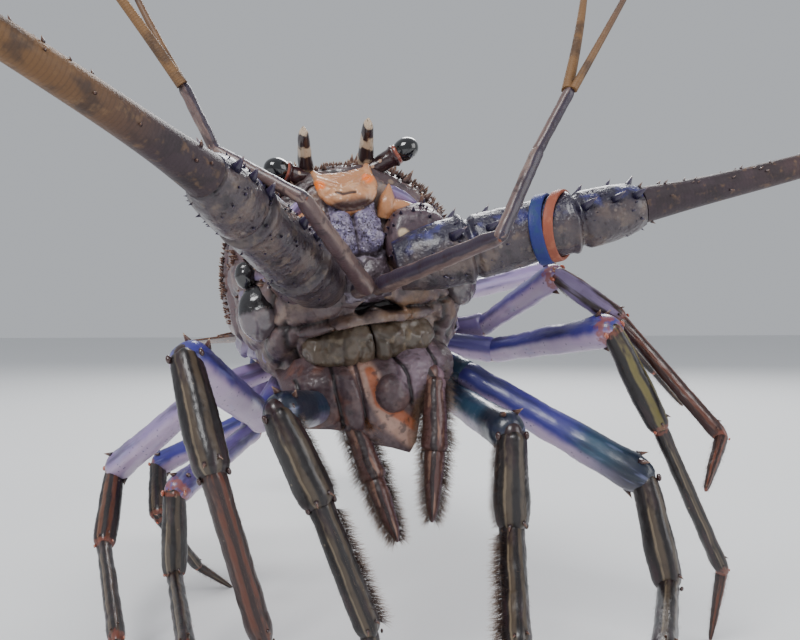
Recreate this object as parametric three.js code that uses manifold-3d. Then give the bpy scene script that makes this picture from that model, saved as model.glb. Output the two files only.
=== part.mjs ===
// A Caribbean spiny lobster, life size, standing as a still museum model.
// Millimetres, +Z up, the head towards -Y and the animal's own left towards +X.
import * as THREE from "three";
import { mergeVertices } from "three/addons/utils/BufferGeometryUtils.js";
import Module from "manifold-3d";

const wasm = await Module();
wasm.setup();

// Driving dimensions
const CARAPACE = 120; // along the back, from between the horns to the rear edge
const HEAD_ASIDE = 3; // the point between the horns, to the animal's left
const HEAD_HEIGHT = 183.4; // the same point above the floor
const HEAD_UP = 6; // degrees that the front of the body is raised
const LEAN = 10; // degrees that the animal's left side is raised
const GAP = 0.3; // between pieces that touch
const ROOT = 1.6; // how far a spine's root is sunk
const FLOOR_SINK = 0.4; // how much of each foot's tip is cut flat
const PLACE = [-49.5, -47.5]; // brings the middle of the whole to the origin

// Lengths of a leg's parts, from the body outwards: the base, merus, carpus, propodus and dactyl
const LEG_LENGTHS = {
  1: [28, 52, 33, 48, 27],
  2: [34, 79, 39, 61, 31],
  3: [34, 80, 42, 70, 36],
  4: [31, 64, 30, 58, 30],
  5: [28, 56, 32, 48, 26],
};
// Half widths of the same parts
const LEG_RADII = {
  1: [5, 6.2, 5.8, 4.9, 3],
  2: [4.9, 5.9, 5.1, 4.1, 2.6],
  3: [4.7, 5.4, 4.8, 3.6, 2.4],
  4: [4.6, 4.9, 4.5, 3.3, 2.3],
  5: [4.3, 4.5, 4, 3, 2.1],
};
// Where each leg leaves the body: to the side, back and up from between the horns
const LEG_ROOTS = {
  1: [22, 32, -64],
  2: [27, 44, -63],
  3: [32, 56, -61],
  4: [35, 68, -58],
  5: [36, 80, -53],
};
// The pose: the compass heading and climb of each part but the last, in degrees.
// A heading of 0 is the animal's left, and -90 is forwards.
// The last part has a heading only, because it slopes down to the floor.
const POSES = {
  left_1: { steps: [[-40, -46], [-81, -11], [60, -88], [-106, -41]], tip: -90 },
  left_2: { steps: [[-59, -22], [-35, -28], [-65, -74], [-119, -4]], tip: -97 },
  left_3: { steps: [[-12, -8], [-75, 7], [10, -60], [22, -58]], tip: 78 },
  left_4: { steps: [[-22, 8], [-80, 18], [-26, -36], [-54, -46]], tip: -132, lifted: -30 },
  left_5: { steps: [[-4, 34], [23, 12], [-4, -34], [7, -44]], tip: 10, lifted: -46 },
  right_1: { steps: [[-70, -31], [-119, 2], [-13, -65], [13, -68]], tip: 0 },
  right_2: { steps: [[-118, -32], [-112, 19], [-66, -59], [51, -66]], tip: 0 },
  right_3: { steps: [[-155, -17], [125, -29], [-93, -40], [-81, -16]], tip: -80 },
  right_4: { steps: [[-132, -72], [-120, -14], [-84, -88], [-85, -9]], tip: -80 },
  right_5: { steps: [[-180, -87], [151, -26], [-87, -36], [63, -40]], tip: 36 },
};

// The trunk from front to rear: distance back, half width, top, widest level and underside
const TRUNK = [
  [-7, 24, 2, -24, -56],
  [-3, 32, 6, -24, -66],
  [12, 42, 10, -26, -76],
  [32, 47, 15, -28, -79],
  [58, 48.5, 16.5, -29, -75],
  [63, 47.5, 15, -29, -74],
  [68, 48, 16, -28, -72],
  [90, 46.5, 14, -25, -62],
  [110, 40, 10, -18, -47],
  [113, 36, 6, -17, -41],
];
const SHELL_EDGE = { front: -64, slope: 0.2 }; // the lower edge of the shell, rising to the rear

// The abdomen: the droop of each of its six parts below level, in degrees, then of the tail fan
const DROOPS = [6, 7, 9, 11, 12, 13];
const FAN_DROOP = 12;
const SEGMENT_LENGTH = 0.235 * CARAPACE;

const rad = THREE.MathUtils.degToRad;
const clamp = THREE.MathUtils.clamp;
const lerp = THREE.MathUtils.lerp;
const vec = (x, y, z) => new THREE.Vector3(x, y, z);

// Materials

function finish(colour, roughness) {
  return new THREE.MeshStandardMaterial({ color: colour, roughness, metalness: 0 });
}
const SHELL = finish(0x5b4a4c, 0.5);
const PLATE = finish(0xb07a4e, 0.5);
const HORN = finish(0x4a3226, 0.4);
const ANTENNA = finish(0x3a3346, 0.5);
const LEG_UPPER = finish(0x3e4a78, 0.45);
const LEG_LOWER = finish(0x33211f, 0.45);
const MOUTH = finish(0x8a8450, 0.4);
const EYE = finish(0x08080a, 0.1);
const TAIL = finish(0x54473f, 0.5);
const BLUE_BAND = finish(0x2f55a5, 0.6);
const ORANGE_BAND = finish(0xb56a2a, 0.6);

const lobster = new THREE.Group();
lobster.position.set(PLACE[0], PLACE[1], 0);

// Directions and places

const BODY = new THREE.Matrix4()
  .makeRotationFromEuler(new THREE.Euler(rad(-HEAD_UP), rad(-LEAN), 0))
  .setPosition(HEAD_ASIDE, 0, HEAD_HEIGHT);

// A place on the body, which leans and is raised at the front, as a place over the floor.
const inBody = (x, y, z) => vec(x, y, z).applyMatrix4(BODY);
const bodyWay = (x, y, z) => inBody(x, y, z).sub(inBody(0, 0, 0));

function heading(compass, climb) {
  const level = Math.cos(rad(climb));
  return vec(
    level * Math.cos(rad(compass)),
    level * Math.sin(rad(compass)),
    Math.sin(rad(climb)),
  );
}

// A smooth curve through the rows of a table whose first column is the distance.
function smooth(table, at) {
  const last = table.length - 2;
  let i = 0;
  while (i < last && table[i + 1][0] < at) i += 1;
  const [a, b] = [table[i], table[i + 1]];
  const before = table[Math.max(i - 1, 0)];
  const after = table[Math.min(i + 2, table.length - 1)];
  const span = b[0] - a[0];
  const t = clamp((at - a[0]) / span, 0, 1);
  return a.slice(1).map((start, k) => {
    const end = b[k + 1];
    const leave = (span * (end - before[k + 1])) / (b[0] - before[0]);
    const arrive = (span * (after[k + 1] - start)) / (after[0] - a[0]);
    return (
      start * (2 * t ** 3 - 3 * t ** 2 + 1) +
      leave * (t ** 3 - 2 * t ** 2 + t) +
      end * (3 * t ** 2 - 2 * t ** 3) +
      arrive * (t ** 3 - t ** 2)
    );
  });
}

// Solids

function solid(geometry) {
  geometry.deleteAttribute("normal");
  geometry.deleteAttribute("uv");
  const merged = mergeVertices(geometry, 1e-4);
  return new wasm.Manifold(
    new wasm.Mesh({
      numProp: 3,
      vertProperties: new Float32Array(merged.attributes.position.array),
      triVerts: new Uint32Array(merged.index.array),
    }),
  );
}

// A closed skin over rings of points, one after another, with a fan over each end.
function loft(rings) {
  const count = rings[0].length;
  const points = rings.flat();
  const faces = [];
  for (let r = 0; r < rings.length - 1; r += 1)
    for (let i = 0; i < count; i += 1) {
      const a = r * count + i;
      const b = r * count + ((i + 1) % count);
      faces.push([a, b, b + count], [a, b + count, a + count]);
    }
  const capped = (ring, first, turn) => {
    const middle = points.length;
    points.push(ring.reduce((sum, p) => sum.add(p), vec(0, 0, 0)).divideScalar(count));
    for (let i = 0; i < count; i += 1) {
      const a = first + i;
      const b = first + ((i + 1) % count);
      faces.push(turn ? [b, a, middle] : [a, b, middle]);
    }
  };
  capped(rings[0], 0, true);
  capped(rings.at(-1), (rings.length - 1) * count, false);
  return closed(points, faces);
}

// A closed body from points and faces, turned so that its faces point outwards.
function closed(points, faces) {
  const volume = faces.reduce(
    (sum, [a, b, c]) => sum + points[a].dot(vec(0, 0, 0).crossVectors(points[b], points[c])),
    0,
  );
  const turned = volume < 0 ? faces.map(([a, b, c]) => [a, c, b]) : faces;
  const geometry = new THREE.BufferGeometry().setFromPoints(points);
  geometry.setIndex(turned.flat());
  return solid(geometry);
}

// An oval ring round a point: across and up are the directions of its half widths.
function oval(middle, across, up, wide, high, count, squareness = 2) {
  const ring = [];
  for (let i = 0; i < count; i += 1) {
    const angle = (2 * Math.PI * (i + 0.5)) / count;
    const [c, s] = [Math.cos(angle), Math.sin(angle)];
    ring.push(
      middle
        .clone()
        .addScaledVector(across, wide * Math.sign(c) * Math.abs(c) ** (2 / squareness))
        .addScaledVector(up, high * Math.sign(s) * Math.abs(s) ** (2 / squareness)),
    );
  }
  return ring;
}

function frameOf(direction, upHint = vec(0, 0, 1)) {
  const across = vec(0, 0, 0).crossVectors(direction, upHint);
  if (across.length() < 0.05) across.crossVectors(direction, vec(0, 1, 0));
  across.normalize();
  return [across, vec(0, 0, 0).crossVectors(across, direction).normalize()];
}

// A tapering tube along points, with a half width and half height at each of them.
function tube(points, sizes, count, upHint, grow = 0) {
  const rings = points.map((p, i) => {
    const ahead = points[Math.min(i + 1, points.length - 1)];
    const behind = points[Math.max(i - 1, 0)];
    const direction = ahead.clone().sub(behind).normalize();
    const [across, up] = frameOf(direction, upHint);
    return oval(p, across, up, sizes[i][0] + grow, sizes[i][1] + grow, count);
  });
  return loft(rings);
}

// One length of a limb between two joints: narrow at its root, full behind its far joint.
const LIMB_SHAPE = [
  [-0.06, 0.5],
  [0, 0.86],
  [0.3, 0.92],
  [0.84, 1.02],
  [0.97, 0.9],
  [1.04, 0.5],
];
function limb(from, to, radius, { taper = 1, depth = 1.12, count = 7, grow = 0 } = {}) {
  const direction = to.clone().sub(from);
  const points = [];
  const sizes = [];
  for (const [share, size] of LIMB_SHAPE) {
    const end = grow * (share < 0 ? -1 : share > 1 ? 1 : 0);
    points.push(
      from.clone().addScaledVector(direction, share + end / direction.length()),
    );
    const half = radius * size * lerp(1, taper, clamp(share, 0, 1));
    sizes.push([half + grow, half * depth + grow]);
  }
  return tube(points, sizes, count);
}

// A pointed spine with its root sunk into what carries it.
function spine(at, direction, length, radius, sides = 5) {
  const tall = length + ROOT;
  const cone = new THREE.ConeGeometry(radius, tall, sides);
  cone.translate(0, tall / 2 - ROOT, 0);
  const turn = new THREE.Quaternion().setFromUnitVectors(vec(0, 1, 0), direction);
  cone.applyQuaternion(turn);
  cone.translate(at.x, at.y, at.z);
  return solid(cone);
}

const join = (pieces) => pieces.reduce((whole, piece) => whole.add(piece));
const clearOf = (piece, others) => others.reduce((rest, other) => rest.subtract(other), piece);

// Only the largest closed surface stays.
function largest(made) {
  return made
    .decompose()
    .reduce((best, body) => (body.volume() > best.volume() ? body : best));
}

function node(name, made, material) {
  const { vertProperties, triVerts, numProp } = largest(made).getMesh();
  const geometry = new THREE.BufferGeometry();
  if (numProp !== 3) throw new Error(name + " has more than positions");
  geometry.setAttribute("position", new THREE.BufferAttribute(vertProperties, 3));
  geometry.setIndex(new THREE.BufferAttribute(triVerts, 1));
  const shaded = geometry.toNonIndexed();
  shaded.computeVertexNormals();
  const mesh = new THREE.Mesh(shaded, material);
  mesh.name = name;
  lobster.add(mesh);
}

const SIDES = [
  ["left", 1],
  ["right", -1],
];

// The trunk: carapace above, breast below

const TRUNK_POINTS = 20;
function onTrunk(back, angle, grow = 0) {
  const [wide, top, level, under] = smooth(TRUNK, back);
  const [c, s] = [Math.cos(angle), Math.sin(angle)];
  const [high, squareness] = s > 0 ? [top - level, 2.1] : [level - under, 2.5];
  return inBody(
    (wide + grow) * Math.sign(c) * Math.abs(c) ** (2 / squareness),
    back,
    level + (high + grow) * Math.sign(s) * Math.abs(s) ** (2 / squareness),
  );
}

function trunk(grow = 0) {
  const stations = [-7, -3, 4, 12, 22, 32, 45, 56, 60, 63, 66, 74, 90, 102, 110, 113];
  return loft(
    stations.map((back, i) => {
      const end = i === 0 ? -grow : i === stations.length - 1 ? grow : 0;
      return Array.from({ length: TRUNK_POINTS }, (_, k) =>
        onTrunk(back + end, (2 * Math.PI * (k + 0.5)) / TRUNK_POINTS, grow),
      );
    }),
  );
}

// The curved horn over each eye, flat at the sides.
const HORN_PATH = [
  [11.3, 10, 1, 4.6],
  [11.6, 4, 6.5, 4],
  [12, -2, 12, 3.2],
  [12.2, -8, 16.4, 2.3],
  [12.3, -12, 18.8, 1.2],
  [12.3, -14, 20, 0.3],
];
function horn(side, grow = 0) {
  return tube(
    HORN_PATH.map(([x, y, z]) => inBody(side * x, y, z)),
    HORN_PATH.map(([, , , half]) => [half * 0.72, half]),
    8,
    undefined,
    grow,
  );
}

// Rows of forward-pointing spines along the back: the angle of each row from the top, its
// longest spine and the distance between spines.
const SPINE_ROWS = [
  [13, 8, 13],
  [34, 6, 12],
  [55, 5, 12],
  [76, 4, 15],
];
function backSpines() {
  const made = [];
  for (const [angle, longest, spacing] of SPINE_ROWS)
    for (const [, side] of SIDES)
      for (let back = 12 + (angle % 10); back < 104; back += spacing) {
        if (Math.abs(back - 63) < 3.5) continue; // the neck groove is bare
        const turn = rad(90 - side * angle);
        const at = onTrunk(back, turn);
        const out = onTrunk(back, turn, 1).sub(at).normalize();
        const forward = bodyWay(0, -1, 0.2);
        const length = longest * lerp(1, 0.45, back / 104);
        made.push(spine(at, out.addScaledVector(forward, 0.9).normalize(), length, length * 0.3));
      }
  return made;
}

const edgeNormal = bodyWay(0, -SHELL_EDGE.slope, 1).normalize();
const edgePoint = inBody(0, 0, SHELL_EDGE.front);
const edgeOffset = edgeNormal.dot(edgePoint);

const wholeTrunk = trunk();
const grownTrunk = trunk(GAP);
const carapace = join([
  wholeTrunk.trimByPlane(edgeNormal.toArray(), edgeOffset + GAP / 2),
  horn(1),
  horn(-1),
  ...backSpines(),
]);
const grownHead = join([grownTrunk, horn(1, GAP), horn(-1, GAP)]);
const breast = wholeTrunk.trimByPlane(edgeNormal.clone().negate().toArray(), GAP / 2 - edgeOffset);

// The plate between the eyes, and the block below it that carries the first antennae

const PLATE_PROFILE = [
  [2, 3],
  [-6, 4],
  [-15.5, -9],
  [-14, -14],
  [2, -14],
];
const BLOCK_PROFILE = [
  [0, -8],
  [-12, -9],
  [-14, -20],
  [-15, -34],
  [-13, -46],
  [0, -46],
];
function slab(profile, halfWidth, edge, grow) {
  const middle = profile.reduce((sum, [y]) => sum + y, 0) / profile.length;
  return loft(
    [-1, -0.8, 0, 0.8, 1].map((share) =>
      profile.map(([y, z]) =>
        inBody(
          share * (halfWidth + grow),
          middle + (y - middle) * (Math.abs(share) === 1 ? edge : 1) + Math.sign(y - middle) * grow,
          z + (z > -12 ? grow : -grow),
        ),
      ),
    ),
  );
}
function headPlate(grow = 0) {
  return join([slab(PLATE_PROFILE, 10.8, 0.8, grow), slab(BLOCK_PROFILE, 8.6, 0.8, grow)]);
}
function plateSpines() {
  const forward = bodyWay(0, -0.8, 0.6);
  return [
    [8, -7, 2, 5],
    [5, -13.5, -6, 4],
  ].flatMap(([x, y, z, length]) =>
    SIDES.map(([, side]) => spine(inBody(side * x, y, z), forward, length, 1.5)),
  );
}
const grownPlate = headPlate(GAP);

// Eyes

// The middle of each eye, the left one turned further out.
const EYES = { left: [26.8, -3.5, 9.5], right: [-23.3, -3.5, 8.6] };
const EYE_RADIUS = 4.7;
const STALK = { root: [12.5, 1, 4.5], radius: 3.7, reach: 0.83 }; // its reach towards the eye

function eyestalk(name, side, grow = 0) {
  const [x, y, z] = STALK.root;
  const root = inBody(side * x, y, z);
  const end = root.clone().lerp(inBody(...EYES[name]), STALK.reach);
  return limb(root, end, STALK.radius, { depth: 1, grow });
}
function eyeball(name) {
  const ball = new THREE.SphereGeometry(EYE_RADIUS, 12, 7);
  ball.scale(0.86, 1, 1);
  ball.translate(...EYES[name]);
  ball.applyMatrix4(BODY);
  return solid(ball);
}

// Second antennae: a base beside the plate, a peduncle of three joints and a long flagellum

const ANTENNA_ROOT = [19, -20, -36];
const PEDUNCLE = [
  [-8, 9],
  [0, 11.2],
  [17, 12],
  [20, 10.8],
  [23, 11.4],
  [40, 10.9],
  [58, 10.4],
  [60, 9.4],
  [63, 10.1],
  [78, 9.2],
  [84, 7.6],
];
const PEDUNCLE_LENGTH = 84;
const FLAGELLUM_LENGTH = 430;
const FLAGELLUM_SPLIT = 150;
// The heading and climb of the peduncle, then of the flagellum at its root, middle and tip
const ANTENNA_POSES = {
  left: { peduncle: [-11, 14], flagellum: [[-11, 13], [10, 22], [30, 6]] },
  right: { peduncle: [-119, 17], flagellum: [[-128, 17], [-160, 24], [-185, 6]] },
};

// The middle of each antenna's base, and its half width and half height from rear to front.
const BASE_MIDDLE = [22, -27];
const BASE_SIZES = [
  [2, 9, 20],
  [-6, 12.5, 23],
  [-14, 12, 20],
  [-20, 8, 13],
];
function antennaBase(side, grow = 0) {
  const across = bodyWay(1, 0, 0);
  const up = bodyWay(0, 0, 1);
  return loft(
    BASE_SIZES.map(([y, wide, high], i) => {
      const end = i === BASE_SIZES.length - 1 ? -grow : 0;
      const middle = inBody(side * BASE_MIDDLE[0], y + end, BASE_MIDDLE[1]);
      return oval(middle, across, up, wide + grow, high + grow, 12, 2.4);
    }),
  );
}

function pedunclePoint(name, side, along) {
  return inBody(side * ANTENNA_ROOT[0], ANTENNA_ROOT[1], ANTENNA_ROOT[2]).addScaledVector(
    heading(...ANTENNA_POSES[name].peduncle),
    along,
  );
}

function peduncle(name, side, grow = 0) {
  return tube(
    PEDUNCLE.map(([along]) => pedunclePoint(name, side, along)),
    PEDUNCLE.map(([, half]) => [half * 0.94, half]),
    12,
    undefined,
    grow,
  );
}

// Spines on the upper and outer sides of the peduncle, clear of the bands.
function peduncleSpines(name, side) {
  const direction = heading(...ANTENNA_POSES[name].peduncle);
  const [across, up] = frameOf(direction);
  const made = [];
  for (const [along, length] of [[14, 8], [27, 6.5], [37, 8], [66, 5], [73, 6]])
    for (const turn of [25, 110]) {
      const [wide] = smooth(PEDUNCLE, along);
      const out = across
        .clone()
        .multiplyScalar(Math.cos(rad(turn)))
        .addScaledVector(up, Math.sin(rad(turn)));
      const at = pedunclePoint(name, side, along).addScaledVector(out, wide * 0.95);
      const size = turn === 25 ? length : length * 0.75;
      made.push(spine(at, out.addScaledVector(direction, 0.9).normalize(), size, size * 0.28));
    }
  return made;
}

// The points of a flagellum, whose heading turns evenly from root to middle to tip.
const FLAGELLUM_STEP = 15;
function flagellumPath(name, side) {
  const [root, middle, tip] = ANTENNA_POSES[name].flagellum;
  const points = [pedunclePoint(name, side, PEDUNCLE_LENGTH + GAP)];
  for (let along = 0; along < FLAGELLUM_LENGTH; along += FLAGELLUM_STEP) {
    const t = along / FLAGELLUM_LENGTH;
    const [a, b, u] = t < 0.5 ? [root, middle, t * 2] : [middle, tip, t * 2 - 1];
    const direction = heading(lerp(a[0], b[0], u), lerp(a[1], b[1], u));
    points.push(points.at(-1).clone().addScaledVector(direction, FLAGELLUM_STEP));
  }
  return points;
}
const FLAGELLUM_SIZES = [
  [0, 6.7],
  [20, 5.4],
  [45, 4.7],
  [150, 3.2],
  [300, 1.9],
  [430, 0.8],
];
function flagellum(name, side, from, to) {
  const points = flagellumPath(name, side);
  const [first, last] = [from / FLAGELLUM_STEP, to / FLAGELLUM_STEP];
  const kept = points.slice(first, last + 1);
  if (from > 0) {
    const direction = kept[1].clone().sub(kept[0]).normalize();
    kept[0] = kept[0].clone().addScaledVector(direction, GAP);
  }
  const sizes = kept.map((_, i) => {
    const [half] = smooth(FLAGELLUM_SIZES, from + i * FLAGELLUM_STEP);
    return [half, half];
  });
  return tube(kept, sizes, 6);
}

// First antennae: a thin peduncle of three joints and two short flagella

// The socket of each in front of the block, and the place where its first joint starts
const ANTENNULE_SOCKET = [3.6, -12, -42];
const ANTENNULE_ROOT = [3.6, -28.5, -43];
const ANTENNULE_LENGTHS = [60, 33, 22];
const ANTENNULE_RADII = [3.4, 2.2, 1.9];
const ANTENNULE_POSES = {
  left: [[-65, 12], [30, 58], [0, 61]],
  right: [[-120, 24], [148, 28], [169, 64]],
};
const LASH_POSES = { left: [38, 54], right: [160, 56] };
const LASH_LENGTH = 85;
const LASHES = {
  outer: { spread: [14, -6], half: [1.7, 0.7] },
  inner: { spread: [-14, 6], half: [1.2, 0.5] },
};

function antennulePoints(name, side) {
  const [x, y, z] = ANTENNULE_ROOT;
  const points = [inBody(side * x, y, z)];
  ANTENNULE_POSES[name].forEach((pose, i) =>
    points.push(points.at(-1).clone().addScaledVector(heading(...pose), ANTENNULE_LENGTHS[i])),
  );
  return points;
}

function antennule(name, side, grow = 0) {
  const [x, y, z] = ANTENNULE_SOCKET;
  const points = antennulePoints(name, side);
  const size = { depth: 1, count: 6, grow };
  const half = ANTENNULE_RADII[0] * 0.9;
  const socket = [inBody(side * x, y, z), points[0]];
  return join([
    tube(socket, [[half, half], [half, half]], 6, undefined, grow),
    ...ANTENNULE_RADII.map((radius, i) => limb(points[i], points[i + 1], radius, size)),
  ]);
}

function lash(name, which, grow = 0) {
  const root = antennulePoints(name, name === "left" ? 1 : -1).at(-1);
  const pose = LASH_POSES[name];
  const { spread, half } = LASHES[which];
  const points = [];
  const sizes = [];
  const steps = 6;
  const sideways = Math.sign(spread[0]) * 1.1;
  const [across] = frameOf(heading(...pose));
  for (let i = 0; i <= steps; i += 1) {
    const t = i / steps;
    const direction = heading(pose[0] + spread[0] * (1 + t), pose[1] + spread[1] * t);
    const start = i === 0 ? root.clone().addScaledVector(across, sideways) : points.at(-1);
    points.push(start.clone().addScaledVector(direction, i === 0 ? 0.5 : LASH_LENGTH / steps));
    const size = lerp(half[0], half[1], t);
    sizes.push([size, size]);
  }
  return tube(points, sizes, 6, undefined, grow);
}

// Mouthparts

// The two mandibles meet at the middle: half height of the pair along its width.
const MOUTH_MIDDLE = [-4, -60];
const MOUTH_SIZES = [
  [-22, 4],
  [-16, 8],
  [-2, 9],
  [2, 9],
  [16, 8],
  [22, 4],
];
function mandibles(grow = 0) {
  const back = bodyWay(0, 1, 0);
  const up = bodyWay(0, 0, 1);
  return loft(
    MOUTH_SIZES.map(([x, half], i) => {
      const end = i === 0 ? -grow : i === MOUTH_SIZES.length - 1 ? grow : 0;
      const middle = inBody(x + end, ...MOUTH_MIDDLE);
      return oval(middle, back, up, half + grow, half * 0.95 + grow, 10);
    }),
  );
}

// The third maxillipeds hang from behind the mouth.
const MAXILLIPEDS = {
  left: [[9, 16, -68], [19, -9, -80], [13, -13, -105], [7, -13.5, -129]],
  right: [[-9, 16, -68], [-13, -3, -89], [-10, -8, -111], [-7, -14, -133]],
};
function maxilliped(name, grow = 0) {
  const points = MAXILLIPEDS[name].map((p) => inBody(...p));
  return join(
    [5, 4.4, 3.6].map((radius, i) =>
      limb(points[i], points[i + 1], radius, { taper: i === 2 ? 0.5 : 1, count: 6, grow }),
    ),
  );
}

// Legs

function legPoints(name, side) {
  const number = name.slice(-1);
  const [x, y, z] = LEG_ROOTS[number];
  const lengths = LEG_LENGTHS[number];
  const { steps, tip, lifted } = POSES[name];
  const points = [inBody(side * x, y, z)];
  steps.forEach((step, i) =>
    points.push(points.at(-1).clone().addScaledVector(heading(...step), lengths[i])),
  );
  const drop = Math.min(1, (points.at(-1).z + FLOOR_SINK) / lengths[4]);
  const slope = lifted ?? -THREE.MathUtils.radToDeg(Math.asin(drop));
  points.push(points.at(-1).clone().addScaledVector(heading(tip, slope), lengths[4]));
  return points;
}

function upperLeg(name, side, grow = 0) {
  const radii = LEG_RADII[name.slice(-1)];
  const points = legPoints(name, side);
  return join([
    limb(points[0], points[1], radii[0], { grow }),
    limb(points[1], points[2], radii[1], { grow }),
  ]);
}

function dactyl(from, to, radius) {
  const shares = [-0.08, 0, 0.15, 0.5, 0.8, 1];
  const sizes = [0.5, 0.95, 1, 0.8, 0.55, 0.3];
  return tube(
    shares.map((share) => from.clone().lerp(to, share)),
    sizes.map((size) => [radius * size, radius * size]),
    6,
  );
}

function lowerLeg(name, side) {
  const radii = LEG_RADII[name.slice(-1)];
  const points = legPoints(name, side);
  return join([
    limb(points[2], points[3], radii[2], {}),
    limb(points[3], points[4], radii[3], { taper: 0.86, count: 6 }),
    dactyl(points[4], points[5], radii[4]),
  ]).trimByPlane([0, 0, 1], 0);
}

// The abdomen and the tail fan

const SEGMENT_POINTS = 14;
// Each joint of the abdomen: its middle, the direction backwards, across and up.
function abdomenJoints() {
  const joints = [];
  let middle = inBody(0, 109, -15);
  DROOPS.forEach((droop, i) => {
    joints.push({ middle: middle.clone(), droop, roll: LEAN * (1 - i / DROOPS.length) });
    middle = middle.clone().addScaledVector(heading(90, -droop), SEGMENT_LENGTH);
  });
  joints.push({ middle, droop: FAN_DROOP, roll: 0 });
  return joints;
}
const JOINTS = abdomenJoints();

function jointFrame(droop, roll) {
  const back = heading(90, -droop);
  const rise = heading(90, 90 - droop);
  const across = vec(1, 0, 0).multiplyScalar(Math.cos(rad(roll)));
  across.addScaledVector(rise, Math.sin(rad(roll)));
  return { back, across, up: vec(0, 0, 0).crossVectors(across, back).normalize() };
}

function arch(middle, frame, wide, high, under) {
  return Array.from({ length: SEGMENT_POINTS }, (_, k) => {
    const angle = (2 * Math.PI * (k + 0.5)) / SEGMENT_POINTS;
    const [c, s] = [Math.cos(angle), Math.sin(angle)];
    const [tall, squareness] = s > 0 ? [high, 2.1] : [under, 3];
    return middle
      .clone()
      .addScaledVector(frame.across, wide * Math.sign(c) * Math.abs(c) ** (2 / squareness))
      .addScaledVector(frame.up, tall * Math.sign(s) * Math.abs(s) ** (2 / squareness));
  });
}

// A flat leaf with the same triangles on both faces: place gives the middle of its thickness.
function leaf(columns, rows, place, normal, thickness) {
  const points = [];
  const faces = [];
  for (const face of [1, -1])
    for (let r = 0; r <= rows; r += 1)
      for (let c = 0; c <= columns; c += 1) {
        const [u, v] = [(2 * c) / columns - 1, r / rows];
        points.push(place(u, v).addScaledVector(normal(v), (face * thickness(u, v)) / 2));
      }
  const at = (face, r, c) => face * (rows + 1) * (columns + 1) + r * (columns + 1) + c;
  const quad = (a, b, c, d) => faces.push([a, b, c], [a, c, d]);
  for (let r = 0; r < rows; r += 1)
    for (let c = 0; c < columns; c += 1) {
      quad(at(0, r, c), at(0, r, c + 1), at(0, r + 1, c + 1), at(0, r + 1, c));
      faces.push([at(1, r, c), at(1, r + 1, c + 1), at(1, r, c + 1)]);
      faces.push([at(1, r, c), at(1, r + 1, c), at(1, r + 1, c + 1)]);
    }
  for (let c = 0; c < columns; c += 1) {
    quad(at(0, 0, c + 1), at(0, 0, c), at(1, 0, c), at(1, 0, c + 1));
    quad(at(0, rows, c), at(0, rows, c + 1), at(1, rows, c + 1), at(1, rows, c));
  }
  for (let r = 0; r < rows; r += 1) {
    quad(at(0, r, 0), at(0, r + 1, 0), at(1, r + 1, 0), at(1, r, 0));
    quad(at(0, r + 1, columns), at(0, r, columns), at(1, r, columns), at(1, r + 1, columns));
  }
  return closed(points, faces);
}

const SEGMENT_WIDTHS = [38, 38, 37, 35, 33, 30];
const SEGMENT_HEIGHTS = [23, 23, 22, 21, 19.5, 17.5];
const SEGMENT_UNDERS = [14, 13.5, 13, 12, 10.5, 8];
const PLEURON_LENGTH = 13;

function segment(index, grow = 0) {
  const start = JOINTS[index];
  const end = JOINTS[index + 1];
  const lead = index === 0 ? start.droop : (start.droop + JOINTS[index - 1].droop) / 2;
  const trail = (start.droop + end.droop) / 2;
  const sizes = [SEGMENT_WIDTHS, SEGMENT_HEIGHTS, SEGMENT_UNDERS].map((list) => [
    list[index],
    list[Math.min(index + 1, list.length - 1)],
  ]);
  // Narrow where it slides under the one before it, with a low furrow and a raised rear edge.
  const rings = [
    [0, -1.6],
    [0.12, -0.4],
    [0.45, 0.5],
    [0.55, -0.4],
    [1, 0.8],
  ].map(([share, swell]) => {
    const droop = lerp(lead, trail, share);
    const frame = jointFrame(droop, lerp(start.roll, end.roll, share));
    const inset = share === 0 ? GAP : share === 1 ? grow : 0;
    const middle = start.middle.clone().lerp(end.middle, share).addScaledVector(frame.back, inset);
    const [wide, high, under] = sizes.map(([from, to]) => lerp(from, to, share));
    return arch(middle, frame, wide + swell + grow, high + swell + grow, under + grow);
  });
  return loft(rings);
}

// The pointed flaps at the sides of a segment, and the paddles that hang beneath it.
function segmentFlaps(index) {
  const { middle, droop, roll } = JOINTS[index];
  const frame = jointFrame(droop, roll);
  const wide = SEGMENT_WIDTHS[index];
  const made = [];
  for (const [, side] of SIDES) {
    const edge = middle
      .clone()
      .addScaledVector(frame.back, SEGMENT_LENGTH * 0.5)
      .addScaledVector(frame.across, side * (wide - 3.2));
    made.push(
      leaf(
        2,
        3,
        (u, v) =>
          edge
            .clone()
            .addScaledVector(frame.up, 1 - v * (SEGMENT_UNDERS[index] + PLEURON_LENGTH))
            .addScaledVector(frame.back, u * lerp(9.5, 0.8, v ** 1.6) + v * 3),
        () => frame.across,
        (u, v) => lerp(4, 1, v),
      ),
    );
    if (index < 1 || index > 4) continue;
    const root = middle
      .clone()
      .addScaledVector(frame.back, SEGMENT_LENGTH * 0.55)
      .addScaledVector(frame.across, side * wide * 0.5)
      .addScaledVector(frame.up, 3 - SEGMENT_UNDERS[index]);
    made.push(
      leaf(
        2,
        2,
        (u, v) =>
          root
            .clone()
            .addScaledVector(frame.across, u * lerp(3, 9, Math.sin(Math.PI * v * 0.9)))
            .addScaledVector(frame.up, -24 * v)
            .addScaledVector(frame.back, 5 * v * v),
        () => frame.back,
        () => 1.4,
      ),
    );
  }
  return made;
}

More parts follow.
